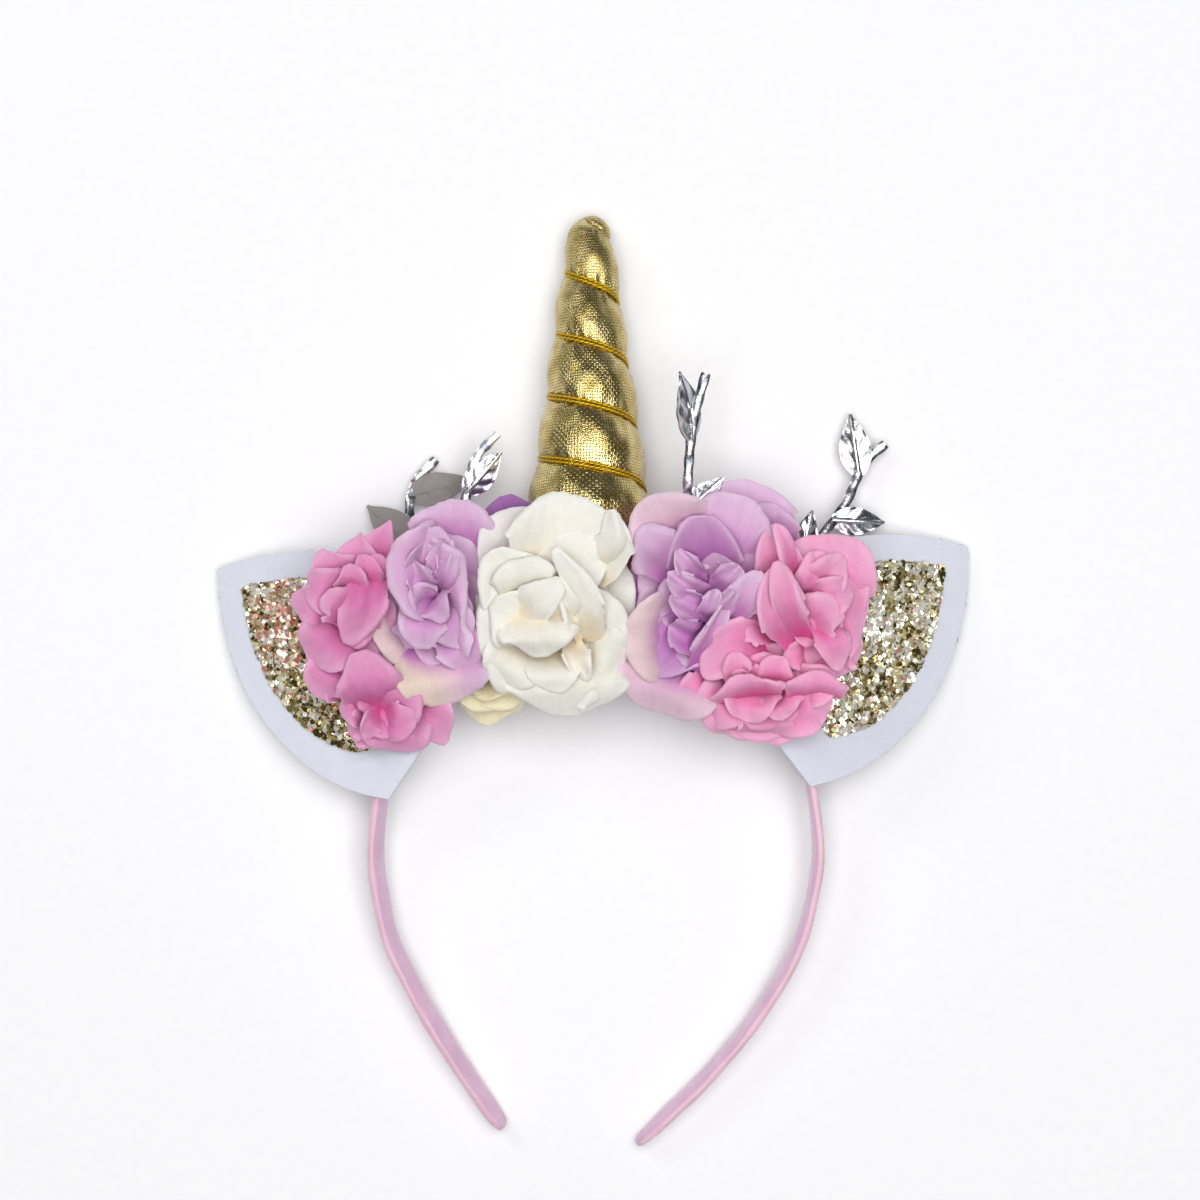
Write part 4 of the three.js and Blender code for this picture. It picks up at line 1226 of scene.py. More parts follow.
@dataclass
class Ear:
    """One felt ear, lapped round the strip at its lower corner, with a panel of glitter."""

    band: Band
    side: Side
    anchor: float
    inset: float
    slant: float
    wrap_at: float
    copper: float
    seed: int
    length: float = 75.7
    felt: float = 2.4
    lean: float = 19.5
    gap: float = 0.3
    wrap_wall: float = 1.4
    wrap_length: float = 12.0
    panel: float = 0.8
    flakes: int = 4700
    flake: float = 0.7
    flake_half: float = 0.05
    flake_lean: float = 0.16
    flake_heap: float = 0.35
    warmth: float = 0.45
    gloom: float = 0.35
    felt_steps: tuple[int, int] = (110, 72)
    lap_steps: tuple[int, int] = (26, 44)
    sheet_steps: tuple[int, int] = (60, 40)
    outline: Outline = Outline(0.0, 0.322, (0.315, 0.5), (0.722, 0.389), 1.0)
    glitter: Outline = Outline(0.16, 0.222, (0.315, 0.341), (0.611, 0.315), 0.88)

    def place(self) -> np.ndarray:
        """Where the ear goes.

        Returns:
            The matrix from the ear's own plane, tip along y, to the hoop.
        """
        degrees = self.anchor if self.side is Side.RIGHT else 180 - self.anchor
        at, out = self.band.oval(degrees), self.band.out(degrees)
        spin = self.side.value * (self.slant - 90)
        cross = basis(np.array([out[1], -out[0], 0.0]), out, np.array([0.0, 0.0, 1.0]))
        stretch = np.diag([1, 1 / math.cos(math.radians(self.lean)), 1, 1])
        lift = self.band.width / 2 + self.gap
        return (
            shift(at[0], at[1], lift) @ cross @ turn(0, -self.lean) @ stretch @ np.linalg.inv(cross)
            @ turn(2, spin) @ shift(0, -self.inset, 0)
        )

    def leaf(self, outline: Outline, rows: int, columns: int) -> np.ndarray:
        """A grid over an outline, closer near its edges.

        Args:
            outline: The shape.
            rows: Points along it.
            columns: Points across it.

        Returns:
            Points in the ear's own plane.
        """
        share = np.sin(np.linspace(0, math.pi / 2, rows)) * NEAR_TIP
        half, up = outline.side(share, self.length)
        across = np.sin(np.linspace(-math.pi / 2, math.pi / 2, columns))
        wide, high = half[:, None] * across[None, :], up[:, None] + 0 * across[None, :]
        return np.stack([wide, high, np.zeros((rows, columns))], axis=-1)

    def build_felt(self, felt: bpy.types.Material) -> bpy.types.Object:
        """Makes the felt and the lap round the strip.

        Args:
            felt: The felt's material.

        Returns:
            The ear.
        """
        grid = self.leaf(self.outline, *self.felt_steps)
        rows, columns = grid.shape[:2]
        row, column = np.meshgrid(np.arange(rows), np.arange(columns), indexing="ij")
        edge = np.minimum(np.minimum(row, rows - 1 - row), np.minimum(column, columns - 1 - column))
        rounded = np.sqrt(1 - (1 - np.clip((edge + 0.45) / 3.2, 0, 1)) ** 2)
        wobble = 0.12 * waves(grid, 14.0, self.seed) + 0.05 * waves(grid, 2.5, self.seed + 1)
        grid[..., 2] = self.felt / 2 + wobble
        grid[..., 0] += 0.09 * waves(grid, 1.3, self.seed + 2) * (edge < 2)
        name = self.side.name.lower()
        skin = Skin(f"felt_ear_{name}", "felt")
        skin.sheet(moved(self.place(), grid), self.felt * rounded, grid[..., :2])
        self.lap(skin)
        piece = skin.finish(felt)
        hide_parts(f"ear_felt_{name}")
        return piece

    def lap(self, skin: Skin) -> None:
        """Adds the felt lapped round the strip.

        Args:
            skin: The ear's mesh.
        """
        degrees = self.wrap_at if self.side is Side.RIGHT else 180 - self.wrap_at
        shares = np.linspace(0, 1, 2001)
        away = np.linalg.norm(self.band.line.at(shares) - self.band.oval(degrees), axis=1)
        middle = shares[np.argmin(away)]
        half = self.wrap_length / 2 / self.band.line.length
        steps, sides = self.lap_steps
        share = np.linspace(middle - half, middle + half, steps)
        bulge = np.sqrt(1 - np.abs(np.linspace(-1, 1, steps)) ** 8)[:, None, None]
        inner, ways, around = self.band.rings(share, 0.2, sides)
        grown, _, _ = self.band.rings(share, self.gap + self.wrap_wall, sides)
        rough = 0.1 * waves(grown, 2.2, self.seed + 5)[..., None]
        points = inner + (grown - inner) * bulge + ways * rough * bulge
        flat = np.stack([around * 4, share[:, None] * self.band.line.length + 0 * around], axis=-1)
        skin.tube(points, flat)

    def build_glitter(self, flakes: bpy.types.Material, ground: bpy.types.Material) -> bpy.types.Object:
        """Makes the glued sheet and its loose flakes.

        Args:
            flakes: The flakes' material.
            ground: The sheet's material.

        Returns:
            The panel.
        """
        rng = np.random.default_rng(self.seed)
        name = self.side.name.lower()
        skin = Skin(f"glitter_panel_{name}", "glitter")
        sheet = self.leaf(self.glitter, *self.sheet_steps)
        base = self.felt + self.gap * 0.3
        sheet[..., 2] = base + self.panel / 2 - 0.15
        skin.sheet(moved(self.place(), sheet), self.panel - 0.1, sheet[..., :2])
        skin.face_slots = [1] * len(skin.faces)
        half, up = self.glitter.side(np.linspace(0, 1, 400), self.length)
        y = rng.uniform(up.min(), up.max() - 0.3, self.flakes * 3)
        x = rng.uniform(-half.max(), half.max(), self.flakes * 3)
        inside = np.abs(x) < np.interp(y, up, half) - 0.15
        x, y = x[inside][:self.flakes], y[inside][:self.flakes]
        count = len(x)
        size = self.flake * rng.uniform(0.7, 1.15, count)
        spin = rng.uniform(0, math.pi / 3, count)
        lean, way = np.abs(rng.normal(0, self.flake_lean, count)), rng.uniform(0, 2 * math.pi, count)
        normal = np.stack([np.sin(lean) * np.cos(way), np.sin(lean) * np.sin(way), np.cos(lean)], axis=-1)
        first = unit(np.cross(normal, np.array([0.13, 0.99, 0.0])))
        second = np.cross(normal, first)
        corner = np.arange(FLAKE_SIDES) * 2 * math.pi / FLAKE_SIDES
        turned = spin[:, None] + corner[None, :]
        flat = first[:, None] * np.cos(turned)[..., None] + second[:, None] * np.sin(turned)[..., None]
        up_heap = rng.uniform(0, self.flake_heap, count)
        middle = np.stack([x, y, base + self.panel - self.flake_half + up_heap], axis=-1)
        hexagon = middle[:, None] + flat * size[:, None, None]
        plate = self.flake_half * normal[:, None]
        points = np.concatenate([hexagon + plate, hexagon - plate], axis=1).reshape(-1, 3)
        n = FLAKE_SIDES
        flats = [list(range(n)), list(range(2 * n - 1, n - 1, -1))]
        walls = [[k, k + n, (k + 1) % n + n, (k + 1) % n] for k in range(n)]
        faces = [[2 * n * number + k for k in row] for number in range(count) for row in flats + walls]
        clumps = waves(middle[:, :2], 2.4, self.seed + 9) + 0.6 * waves(middle[:, :2], 11.0, self.seed + 10)
        tone = np.clip(0.48 + 0.2 * clumps + rng.normal(0, 0.24, count), DARKEST, PALEST)
        spot = moved(self.place(), middle)[:, :2]
        tone = np.clip(tone - self.gloom * GLOOM.over(spot), DARKEST, PALEST)
        copper = self.copper * (1 + clumps) + self.warmth * WARM.over(spot)
        tone = np.where(rng.uniform(size=count) < copper, COPPER, tone)
        skin.add(moved(self.place(), points), faces, points[:, :2], tone=np.repeat(tone, 2 * FLAKE_SIDES))
        piece = skin.finish(flakes, ground)
        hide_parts(f"ear_glitter_{name}")
        return piece


# The blooms

Point = tuple[float, float, float]
LIP_ROWS = 6


@dataclass(frozen=True)
class Petal:
    """One petal: a sheet of cloth laid along a curve from its root to its rim. Millimetres and degrees.

    half is half its width at the root, the middle and the rim. cup lifts its sides, or drops them below
    zero, and roll turns it about its own length. lip is the length of the rim that rolls back and curl how
    far that turns, and side_lip bends back its sides. point is the share of its length that is missing at
    the sides, and a larger roundness keeps that loss to the corners. frill and crease are the heights of its
    waves. blush is how much of the second colour it takes, more on one side if blush_side is not zero, and
    shade how much of the heart's colour it takes: partly the heart's deeper dye, partly painted shade in
    the bloom's hollows and folds.
    """

    spine: tuple[Point, ...]
    half: tuple[float, float, float]
    cup: float = 0.15
    roll: float = 0.0
    lip: float = 1.6
    curl: float = 100.0
    side_lip: float = 0.07
    point: float = 0.6
    roundness: float = 2.2
    frill: float = 0.5
    crease: float = 0.3
    blush: float = 0.0
    blush_side: float = 0.0
    shade: float = 0.0

    def line(self) -> Line:
        """The middle line, from the root to where the rim starts to roll."""
        return Line(through(np.array(self.spine, dtype=float), 16))

    def side(self, ahead: np.ndarray) -> np.ndarray:
        """The way across the petal, square to a way along it.

        Args:
            ahead: Unit ways along the petal.

        Returns:
            A unit way for each.
        """
        run = np.array(self.spine[-1], dtype=float) - np.array(self.spine[0], dtype=float)
        flat = unit(np.array([run[1], -run[0], 0.0]))
        square = flat - np.sum(flat * ahead, axis=-1, keepdims=True) * ahead
        return unit(square)

    def grid(self, seed: int, columns: int, rows: int) -> tuple[np.ndarray, np.ndarray, np.ndarray]:
        """The petal's surface.

        Args:
            seed: Chooses how its cloth falls.
            columns: Faces across.
            rows: Faces along.

        Returns:
            The points, their places on the flat cloth and how far each is from root to rim.
        """
        rng = np.random.default_rng(seed)
        line = self.line()
        bend = line.length / (line.length + self.lip)
        flat_steps, lip_steps = np.linspace(0, bend, rows - LIP_ROWS + 1), np.linspace(bend, 1, LIP_ROWS + 1)
        steps = np.concatenate([flat_steps, lip_steps[1:]])
        s = np.linspace(-1, 1, columns + 1)[None, :] + np.zeros((rows + 1, 1))
        t = steps[:, None] + np.zeros((1, columns + 1))
        body = np.minimum(t / bend, 1)
        past = np.clip((t - bend) / (1 - bend), 0, 1)
        uneven = 0.03 * np.sin(s * rng.uniform(3, 6) + rng.uniform(0, 6))
        reach = body * (1 - self.point * np.abs(s) ** self.roundness) + body ** 4 * uneven
        reach = np.clip(reach, 0, 1)
        place = np.linspace(0, 1, 160)
        ahead = line.along(place)
        across = self.side(ahead)
        over = np.cross(across, ahead)
        c, d = math.cos(math.radians(self.roll)), math.sin(math.radians(self.roll))
        across, over = across * c + over * d, over * c - across * d
        shares = np.polyfit((0.0, 0.5, 1.0), self.half, 2)
        half = np.maximum(0.5, np.polyval(shares, reach))
        edge = smooth(0.66, 1.0, np.abs(s)) * smooth(0.15, 0.6, t)
        phase = rng.uniform(0, 2 * math.pi, 5)
        slant = self.point * self.roundness * np.abs(s) ** (self.roundness - 1) * line.length / half
        forward = 1 / np.sqrt(1 + slant ** 2)
        turned = math.radians(self.curl) * past * (0.85 + 0.3 * np.sin(2.4 * s + phase[3]))
        lip = self.lip * (1 + 0.25 * np.sin(3.7 * s + phase[4]) + rng.normal(0, 0.07, columns + 1))
        radius = lip / math.radians(self.curl)
        cloth = np.stack([s * half, reach * line.length + past * self.lip], axis=-1)
        lift = self.cup * half * s ** 2 - self.side_lip * half * edge ** 2
        lift = lift + self.frill * t ** 2 * np.sin(3.3 * s + phase[0])
        lift = lift + self.frill * 0.5 * np.maximum(t ** 3, edge) * np.sin(7.1 * s + 3.0 * t + phase[1])
        lift = lift + self.crease * smooth(0.0, 0.4, t) * waves(cloth * (1.0, 0.42), 4.6, seed + 1)
        lift = lift + self.crease * 0.3 * waves(cloth * (1.0, 0.5), 1.9, seed + 2)
        lift = lift - radius * (1 - np.cos(turned))
        sideways = np.sign(s) * slant * forward * radius * np.sin(turned)
        out = s * half * (1 - 0.16 * self.side_lip * edge) + sideways
        out = out + rng.normal(0, 0.1, s.shape) * np.abs(s) ** 30
        grid = line.at(reach.ravel()).reshape(*s.shape, 3)
        for ways, size in ((across, out), (over, lift), (ahead, forward * radius * np.sin(turned))):
            laid = np.stack([np.interp(reach, place, ways[:, k]) for k in range(3)], axis=-1)
            grid = grid + laid * size[..., None]
        return grid, cloth, t

    def blushed(self, s: np.ndarray, t: np.ndarray) -> np.ndarray:
        """How much of the second colour shows, over the petal."""
        return self.blush * smooth(-0.6, 0.7, self.blush_side * s + 0.2) * smooth(0.2, 0.6, t)


def whorl(
    count: int, far: float, turned: float, heights: Point, wide: float = 0.6, tall: float = 1.0,
    **looks: float,
) -> list[Petal]:
    """Petals evenly round an axis, for the parts of a bloom behind its front petals.

    Args:
        count: How many there are.
        far: How far they reach.
        turned: Degrees that the first one is turned.
        heights: Height of their roots, middles and rims.
        wide: Half their width as a share of their reach.
        tall: How much less than sideways they reach up and down.
        **looks: What else to pass on to the petals.

    Returns:
        The petals, round the origin.
    """
    petals = []
    for k in range(count):
        way = math.radians(turned + 360 * k / count)
        spine = tuple(
            (far * share * math.cos(way), far * tall * share * math.sin(way), height)
            for share, height in zip((0.08, 0.55, 0.92), heights)
        )
        petals.append(Petal(spine, (far * wide * 0.5, far * wide, far * wide * 0.9), **looks))
    return petals


CRUMPLED = {"crease": 0.9, "frill": 1.5, "lip": 0.8, "point": 0.3, "roundness": 3.2}

# In the petal tables, shade is partly the heart's deeper dye and partly painted shade in the hollows and
# folds of each bloom.
WHITE_ROSE = [
    Petal(((-17, 82, 9), (-24, 92, 14), (-28, 97, 14.5)), (10, 13, 13), blush=0.8, cup=0.1, frill=0.4),
    Petal(
        ((-9, 81, 14), (-7, 93, 19.5), (-6, 102, 21)), (11, 17, 17),
        cup=0.3, lip=3.4, curl=130, frill=0.6, point=0.5,
    ),
    Petal(((-1, 82, 16), (5, 91, 24), (4, 99, 24)), (4, 5, 4), cup=-0.28, frill=0.9),
    Petal(((-17, 72, 12), (-25, 82, 21), (-28, 87, 23)), (7, 11, 10), lip=2.5),
    Petal(
        ((-19, 75, 17), (-20, 81, 23.5), (-21, 86, 24.5)), (8, 10, 10),
        cup=0.1, lip=3, curl=170, side_lip=0.4,
    ),
    Petal(((-18, 66, 11), (-28, 67, 20), (-32, 67, 19)), (9, 18, 19), cup=0.12, lip=3),
    Petal(((-19, 67, 16), (-24, 71, 22.5), (-28, 73, 22.5)), (5, 9, 8), lip=2.1),
    Petal(((-5, 66, 10), (1, 71, 18.5), (5, 74, 18.5)), (6, 12, 12), cup=0.1, lip=2.1, frill=0.5),
    Petal(((-7, 58, 11), (1, 56, 19), (6, 53, 16)), (7, 13, 13), cup=0.05, lip=2.5),
    Petal(((-9, 61, 12), (-8, 51, 20), (-8, 43, 15)), (10, 18, 18), cup=-0.03, lip=2.5, frill=0.5),
    Petal(((-19, 63, 14), (-24, 56, 20.5), (-27, 51, 17)), (7, 9, 9), lip=2.5),
    Petal(((-12, 60, 15), (-12, 54, 22), (-12, 50, 21)), (6, 8, 8), cup=0.1, lip=1.7),
    Petal(((-7, 64, 16), (-5, 58, 22), (-3, 53, 21.5)), (2, 3.4, 3), crease=0.7, frill=1.2, shade=0.35),
    Petal(((-17, 73, 19), (-16, 65, 27), (-16, 60, 24)), (8, 10.5, 10), cup=-0.14, lip=2.1, curl=90),
    Petal(((-23, 70, 19), (-16, 75, 26.5), (-10, 79, 26.5)), (3, 5.5, 5), cup=-0.1, lip=1.7, curl=90),
    Petal(((-10, 69, 19), (-9, 74, 24.5), (-12, 81, 25)), (3, 4.5, 4), lip=1.7),
    Petal(((-4, 64, 17), (-7, 73, 23), (-10, 81, 25)), (2.5, 3, 2.5), roll=-35, shade=0.1),
    Petal(((-1, 63, 17), (-4, 76, 26), (-11, 89, 27.5)), (3, 4.6, 3.6), cup=-0.21, roll=25, lip=1.3),
    Petal(((-17, 77, 16), (-7, 84, 20.5), (2, 90, 20)), (7, 10, 9), cup=-0.08),
]

RIGHT_LILAC_ROSE = [
    Petal(((19, 76, 5), (10, 78, 9), (4, 80, 9)), (7, 11, 11), lip=0.8, shade=1, cup=0),
    Petal(((33, 82, 9), (36, 94, 16.5), (38, 102, 17)), (9, 15, 17), cup=0.15, lip=2.5),
    Petal(((24, 89, 12), (18, 97, 20), (15, 102, 21.5)), (8, 12, 13), lip=2.6, cup=0.15, blush=0.5),
    Petal(((22, 56, 10), (19, 49, 17), (17, 43, 14)), (10, 15, 16), lip=2.1, blush=0.5),
    Petal(((20, 64, 11), (13, 64, 18), (9, 64, 18.5)), (7, 13, 14), lip=2.5, cup=0.2, blush=0.9),
    Petal(((30, 80, 8), (29, 89, 17), (28, 98, 21.5)), (8, 10.5, 9), lip=1.2, cup=0.35, shade=0.85),
    Petal(((36, 77, 8), (41, 86, 14), (44, 91, 16)), (6, 9, 9), lip=1.7, cup=0.2, shade=0.1),
    Petal(((22, 82, 13), (16, 89, 21.5), (12, 93, 22.5)), (5, 7.5, 7), lip=2.5, cup=-0.07),
    Petal(
        ((30, 69, 11), (22, 62, 14), (16, 55, 16)), (5, 9, 8),
        lip=1.3, cup=0.2, shade=1, crease=0.7, frill=1,
    ),
    Petal(
        ((29, 66, 12), (26, 64, 17), (21, 68, 18)), (3, 5, 4),
        shade=1, crease=0.8, frill=1.5, point=0.3, roundness=3.2, lip=0.8,
    ),
    Petal(((36, 69, 16), (40, 75, 22), (44, 82, 23)), (3, 5, 5), lip=2.1, cup=-0.07),
    Petal(
        ((26, 55, 15), (31, 65, 20), (37, 76, 22)), (1.8, 2.8, 2.2),
        roll=-30, lip=0.8, shade=0.1, point=0.4,
    ),
    Petal(((29, 57, 13), (31, 62, 18), (33, 68, 20)), (3, 5, 4), roll=-20, shade=0.3),
    Petal(((32, 75, 13), (25, 78, 20), (20, 82, 22)), (2, 3.6, 3.2), shade=0.3, **CRUMPLED),
    Petal(((29, 78, 13), (25, 84, 20), (22, 88, 20.5)), (2, 3.4, 2.6), shade=0.35, **CRUMPLED),
    Petal(((32, 76, 13), (35, 80, 20), (39, 84, 21)), (2, 3.8, 3.2), shade=0.3, **CRUMPLED),
    Petal(((32, 71, 13), (26, 73, 19), (21, 76, 20)), (2, 4, 3.4), shade=0.5, **CRUMPLED),
    Petal(((29, 69, 14), (31, 73, 21), (33, 77, 22.5)), (1.6, 2.8, 2.4), shade=0.3, **CRUMPLED),
    Petal(((32, 69, 14), (35, 73, 21), (38, 77, 22)), (1.8, 3, 2.6), shade=0.25, **CRUMPLED),
]

LEFT_LILAC_ROSE = [
    Petal(((-55, 59, 6), (-57, 54, 10), (-59, 50, 9)), (4, 6, 5), shade=1, lip=0.8),
    Petal(((-54, 67, 8), (-58, 65, 13), (-61, 64, 14.5)), (7, 12, 12), blush=1, lip=1.3),
    Petal(((-40, 88, 9), (-39, 97, 15), (-39, 101, 15)), (8, 12, 12), lip=2.4),
    Petal(((-43, 61, 10), (-42, 52, 18), (-41, 46, 15.5)), (9, 14.5, 15), blush=1, blush_side=1, lip=2.4),
    Petal(((-43, 75, 13), (-38, 77, 21), (-36, 77, 21)), (10, 18, 19), lip=2.1, cup=0.15),
    Petal(((-40, 67, 13), (-37, 60, 18), (-34, 54, 15)), (5, 6.5, 4), lip=1.3),
    Petal(
        ((-45, 82, 13), (-52, 83, 22), (-56, 83, 22)), (10, 15, 17),
        lip=3.4, cup=0.2, curl=150, point=0.7,
    ),
    Petal(((-43, 80, 12), (-44, 89, 19), (-44, 94, 20)), (4, 6, 6), lip=1.3, cup=0.2, shade=0.3),
    Petal(((-46, 69, 13), (-40, 68, 20), (-37, 62, 18)), (4, 7, 6), lip=1.7, shade=0.1),
    Petal(((-46, 72, 14), (-48, 67, 21), (-48, 62, 20)), (5, 7, 6.5), lip=1.7),
    Petal(((-46, 77, 12), (-48, 84, 19.5), (-46, 90, 21)), (3, 4.6, 3.4), shade=0.45, **CRUMPLED),
    Petal(((-44, 76, 12), (-43, 84, 20.5), (-41, 91, 22)), (2.6, 4, 3), shade=0.35, **CRUMPLED),
    Petal(((-45, 76, 13), (-48, 80, 20.5), (-50, 85, 22)), (2.4, 3.6, 3), shade=0.4, **CRUMPLED),
    Petal(
        ((-46, 73, 13), (-49, 76, 21), (-51, 77, 22)), (3, 4.4, 4),
        crease=0.6, frill=1, shade=0.3, lip=1.3, cup=0.3,
    ),
    Petal(
        ((-45, 74, 13), (-44, 73, 21), (-42, 70, 22)), (3, 5, 5),
        crease=0.6, frill=1, shade=0.35, lip=1.3, cup=0.3,
    ),
    Petal(
        ((-43, 76, 13), (-41, 82, 21), (-39, 87, 22.5)), (2, 3.4, 2.6),
        crease=0.8, frill=1.5, shade=0.2, lip=0.8, point=0.3, roundness=3.2,
    ),
]

RIGHT_UPPER_BLOSSOM = [
    Petal(((59, 71, 8), (62, 84, 16), (61, 92, 14)), (9, 16, 17), lip=1.7, frill=0.8),
    Petal(((62, 67, 8), (69, 70, 16), (74, 69, 13)), (8, 15, 16), lip=1.7, frill=0.9),
    Petal(((62, 73, 8), (68, 81, 15), (70, 85, 13)), (6, 10, 9), lip=1.7, frill=0.8),
    Petal(((52, 78, 12), (49, 88, 19), (48, 95, 19)), (5, 6.5, 5), lip=1.3),
    Petal(((54, 80, 16), (52, 89, 22), (49, 96, 22)), (2, 3.4, 2), roll=-35, lip=0.8),
    Petal(((64, 60, 8), (67, 59, 15), (70, 55, 13)), (5, 8, 8), lip=1.7),
    Petal(((58, 74, 12), (60, 82, 19), (60, 88, 18.5)), (3, 5.6, 5), lip=1.3, crease=0.6),
    Petal(((58, 75, 13), (64, 82, 20), (68, 86, 18)), (3, 6, 5), lip=1.3, crease=0.6),
    Petal(((60, 72, 13), (65, 76, 20.5), (70, 77, 18)), (4, 6, 6), lip=1.3, crease=0.5),
    Petal(((56, 65, 13), (62, 71, 21.5), (67, 72, 21)), (5, 7.5, 7), lip=1.7, cup=-0.07),
    Petal(((61, 68, 15), (65, 63, 21), (67, 56, 19)), (2, 5, 4), lip=1.3, roll=20),
    Petal(((56, 62, 14), (50, 73, 23), (49, 85, 23.5)), (4, 6.4, 6), lip=1.3, cup=0.3),
    Petal(((57, 65, 18), (52, 75, 25), (49, 86, 26)), (2.5, 4.2, 3.6), cup=-0.24, lip=1.3),
    Petal(((60, 60, 9), (59, 66, 17), (58, 72, 18.5)), (3, 5, 4.6), shade=0.5, lip=0.8),
    Petal(((62, 61, 8), (64, 66, 15), (63, 70, 17)), (3, 4, 4), shade=0.6, lip=0.8),
    Petal(((60, 60, 6), (61, 57, 13), (62, 55, 15)), (3, 5, 4.6), shade=0.6, lip=1.3),
    Petal(((59, 60, 8), (56, 59, 15), (52, 59, 16)), (3, 4.6, 4.4), shade=0.3, lip=1.3),
]

RIGHT_LOWER_BLOSSOM = [
    Petal(((47, 48, 6), (45, 41, 15), (46, 36, 11)), (12, 19, 20), lip=1.7, frill=0.6),
    Petal(((48, 67, 12), (42, 69, 17.5), (36, 66, 16)), (5, 7, 7), lip=1.7, cup=0.3),
    Petal(((48, 60, 12), (39, 62, 19), (29, 55, 17)), (5, 7.5, 7), lip=1.7, cup=0.3, crease=0.5),
    Petal(((33, 52, 10), (28, 49, 16), (23, 43, 13)), (3, 5.4, 5), lip=1.3),
    Petal(((41, 48, 10), (34, 45, 17), (31, 40, 14)), (5, 8, 8), lip=1.7),
    Petal(((49, 48, 10), (58, 45, 17), (64, 46, 15)), (6, 9.5, 9), lip=1.7),
    Petal(((55, 50, 12), (60, 51, 18), (66, 53, 17)), (4, 6, 6), lip=1.3),
    Petal(((45, 49, 8), (45, 55, 16), (45, 59, 18)), (5, 7, 7), shade=0.5, lip=1.3),
    Petal(
        ((43, 50, 11), (42, 45, 19), (42, 41, 19)), (7, 8.5, 8),
        lip=0.8, cup=0.25, crease=0.5, point=0.55, frill=0.9,
    ),
    Petal(((51, 49, 11), (51, 45, 18), (52, 42, 18)), (5, 6.5, 6), lip=0.8, cup=0.2, crease=0.7),
    Petal(((42, 48, 17), (41, 52, 24), (41, 54, 24.5)), (8, 10, 9.6), lip=2.1, curl=170),
    Petal(((60, 48, 16), (60, 52, 22), (60, 55, 22)), (7, 8.6, 8.2), lip=2.1, curl=170),
    Petal(((49, 50, 14), (49, 55, 20), (50, 59, 20.5)), (3, 5, 5), lip=1.3, shade=0.2),
    Petal(((43, 50, 15), (39, 57, 21), (41, 59, 21)), (3, 5, 5), lip=1.3, shade=0.25),
]

LEFT_UPPER_BLOSSOM = [
    Petal(
        ((-59, 79, 6), (-60, 89, 12), (-57, 96, 12)), (3, 6, 2.4),
        roundness=1.4, lip=0.8, shade=0.3,
    ),
    Petal(((-65, 77, 8), (-66, 86, 13), (-65, 93, 12)), (4, 7, 3), point=0.55, roundness=1.4, lip=0.8),
    Petal(((-70, 78, 10), (-74, 84, 15), (-76, 88, 14)), (4, 7.4, 4), point=0.5, roundness=1.5, lip=0.8),
    Petal(((-75, 65, 5), (-80, 64, 9), (-83, 64, 8)), (3, 4, 3.4), blush=0.9, lip=0.8),
    Petal(((-70, 58, 8), (-74, 53, 14), (-77, 47, 11)), (4, 7.6, 7), lip=1.3),
    Petal(((-69, 67, 10), (-75, 62, 17), (-80, 57, 13)), (4, 8, 6.4), lip=1.3, point=0.45, roundness=1.6),
    Petal(((-71, 70, 10), (-78, 73, 17), (-84, 74, 13)), (4, 6.6, 5.6), lip=1.3),
    Petal(((-69, 75, 13), (-76, 78, 19), (-80, 79, 16)), (4, 7, 6.4), lip=1.3),
    Petal(((-69, 70, 16), (-72, 74, 21.5), (-75, 74, 21)), (3, 5.6, 5), lip=1.7, cup=-0.14),
    Petal(((-63, 76, 12), (-63, 83, 18.5), (-64, 87, 19)), (2.5, 4.6, 4), shade=0.6, lip=0.8),
    Petal(((-60, 77, 11), (-60, 82, 16), (-61, 87, 17)), (2.5, 4, 3.4), shade=0.4, lip=0.8),
    Petal(
        ((-62, 84, 13), (-64, 74, 20), (-69, 63, 18)), (4, 6.4, 6),
        lip=1.7, cup=-0.1, crease=0.5, shade=0.1,
    ),
    Petal(((-68, 76, 14), (-67, 81, 20), (-68, 84, 20)), (3, 4.6, 4), shade=0.35, lip=1.3),
]

LEFT_LOWER_BLOSSOM = [
    Petal(((-58, 42, 8), (-56, 36, 15), (-57, 32, 13)), (7, 11, 10.5), lip=1.7),
    Petal(((-54, 47, 8), (-46, 41, 14), (-42, 34, 12)), (6, 8, 4.6), lip=0.8, point=0.45, roundness=1.6),
    Petal(((-64, 43, 10), (-68, 44, 15), (-71, 43, 13)), (3, 5, 4.6), lip=1.3),
    Petal(((-63, 40, 9), (-66, 38, 14), (-69, 38, 12)), (4, 6, 5.4), lip=1.3),
    Petal(((-70, 48, 8), (-72, 50, 12), (-75, 52, 11)), (3, 5, 4.4), lip=1.3),
    Petal(((-58, 42, 12), (-54, 47, 18), (-51, 51, 18)), (4, 7.4, 7), lip=1.7),
    Petal(
        ((-61, 43, 12), (-63, 53, 22), (-65, 60, 19.5)), (7, 9, 9),
        cup=-0.1, lip=2.1, shade=0.15, crease=0.5,
    ),
    Petal(((-60, 43, 13), (-62, 40, 19), (-64, 36, 18)), (2, 3.6, 2), roll=25, lip=0.8),
    Petal(((-59, 43, 13), (-55, 41, 19), (-50, 42, 18)), (3, 5.6, 5), lip=1.3, shade=0.2),
    Petal(
        ((-59, 43, 12), (-58, 40, 17), (-57, 37, 18)), (4, 6.4, 6),
        cup=0.25, lip=0.8, shade=0.3, crease=0.7,
    ),
]

CREAM_BUD = [
    Petal(((-26, 53, 3), (-31, 45, 6), (-32, 39, 5)), (6, 9.4, 8), frill=0.9, lip=1.3),
    Petal(((-24, 51, 4), (-25, 46, 8), (-24, 42, 7)), (4, 6, 5), frill=0.8, lip=1.3),
]

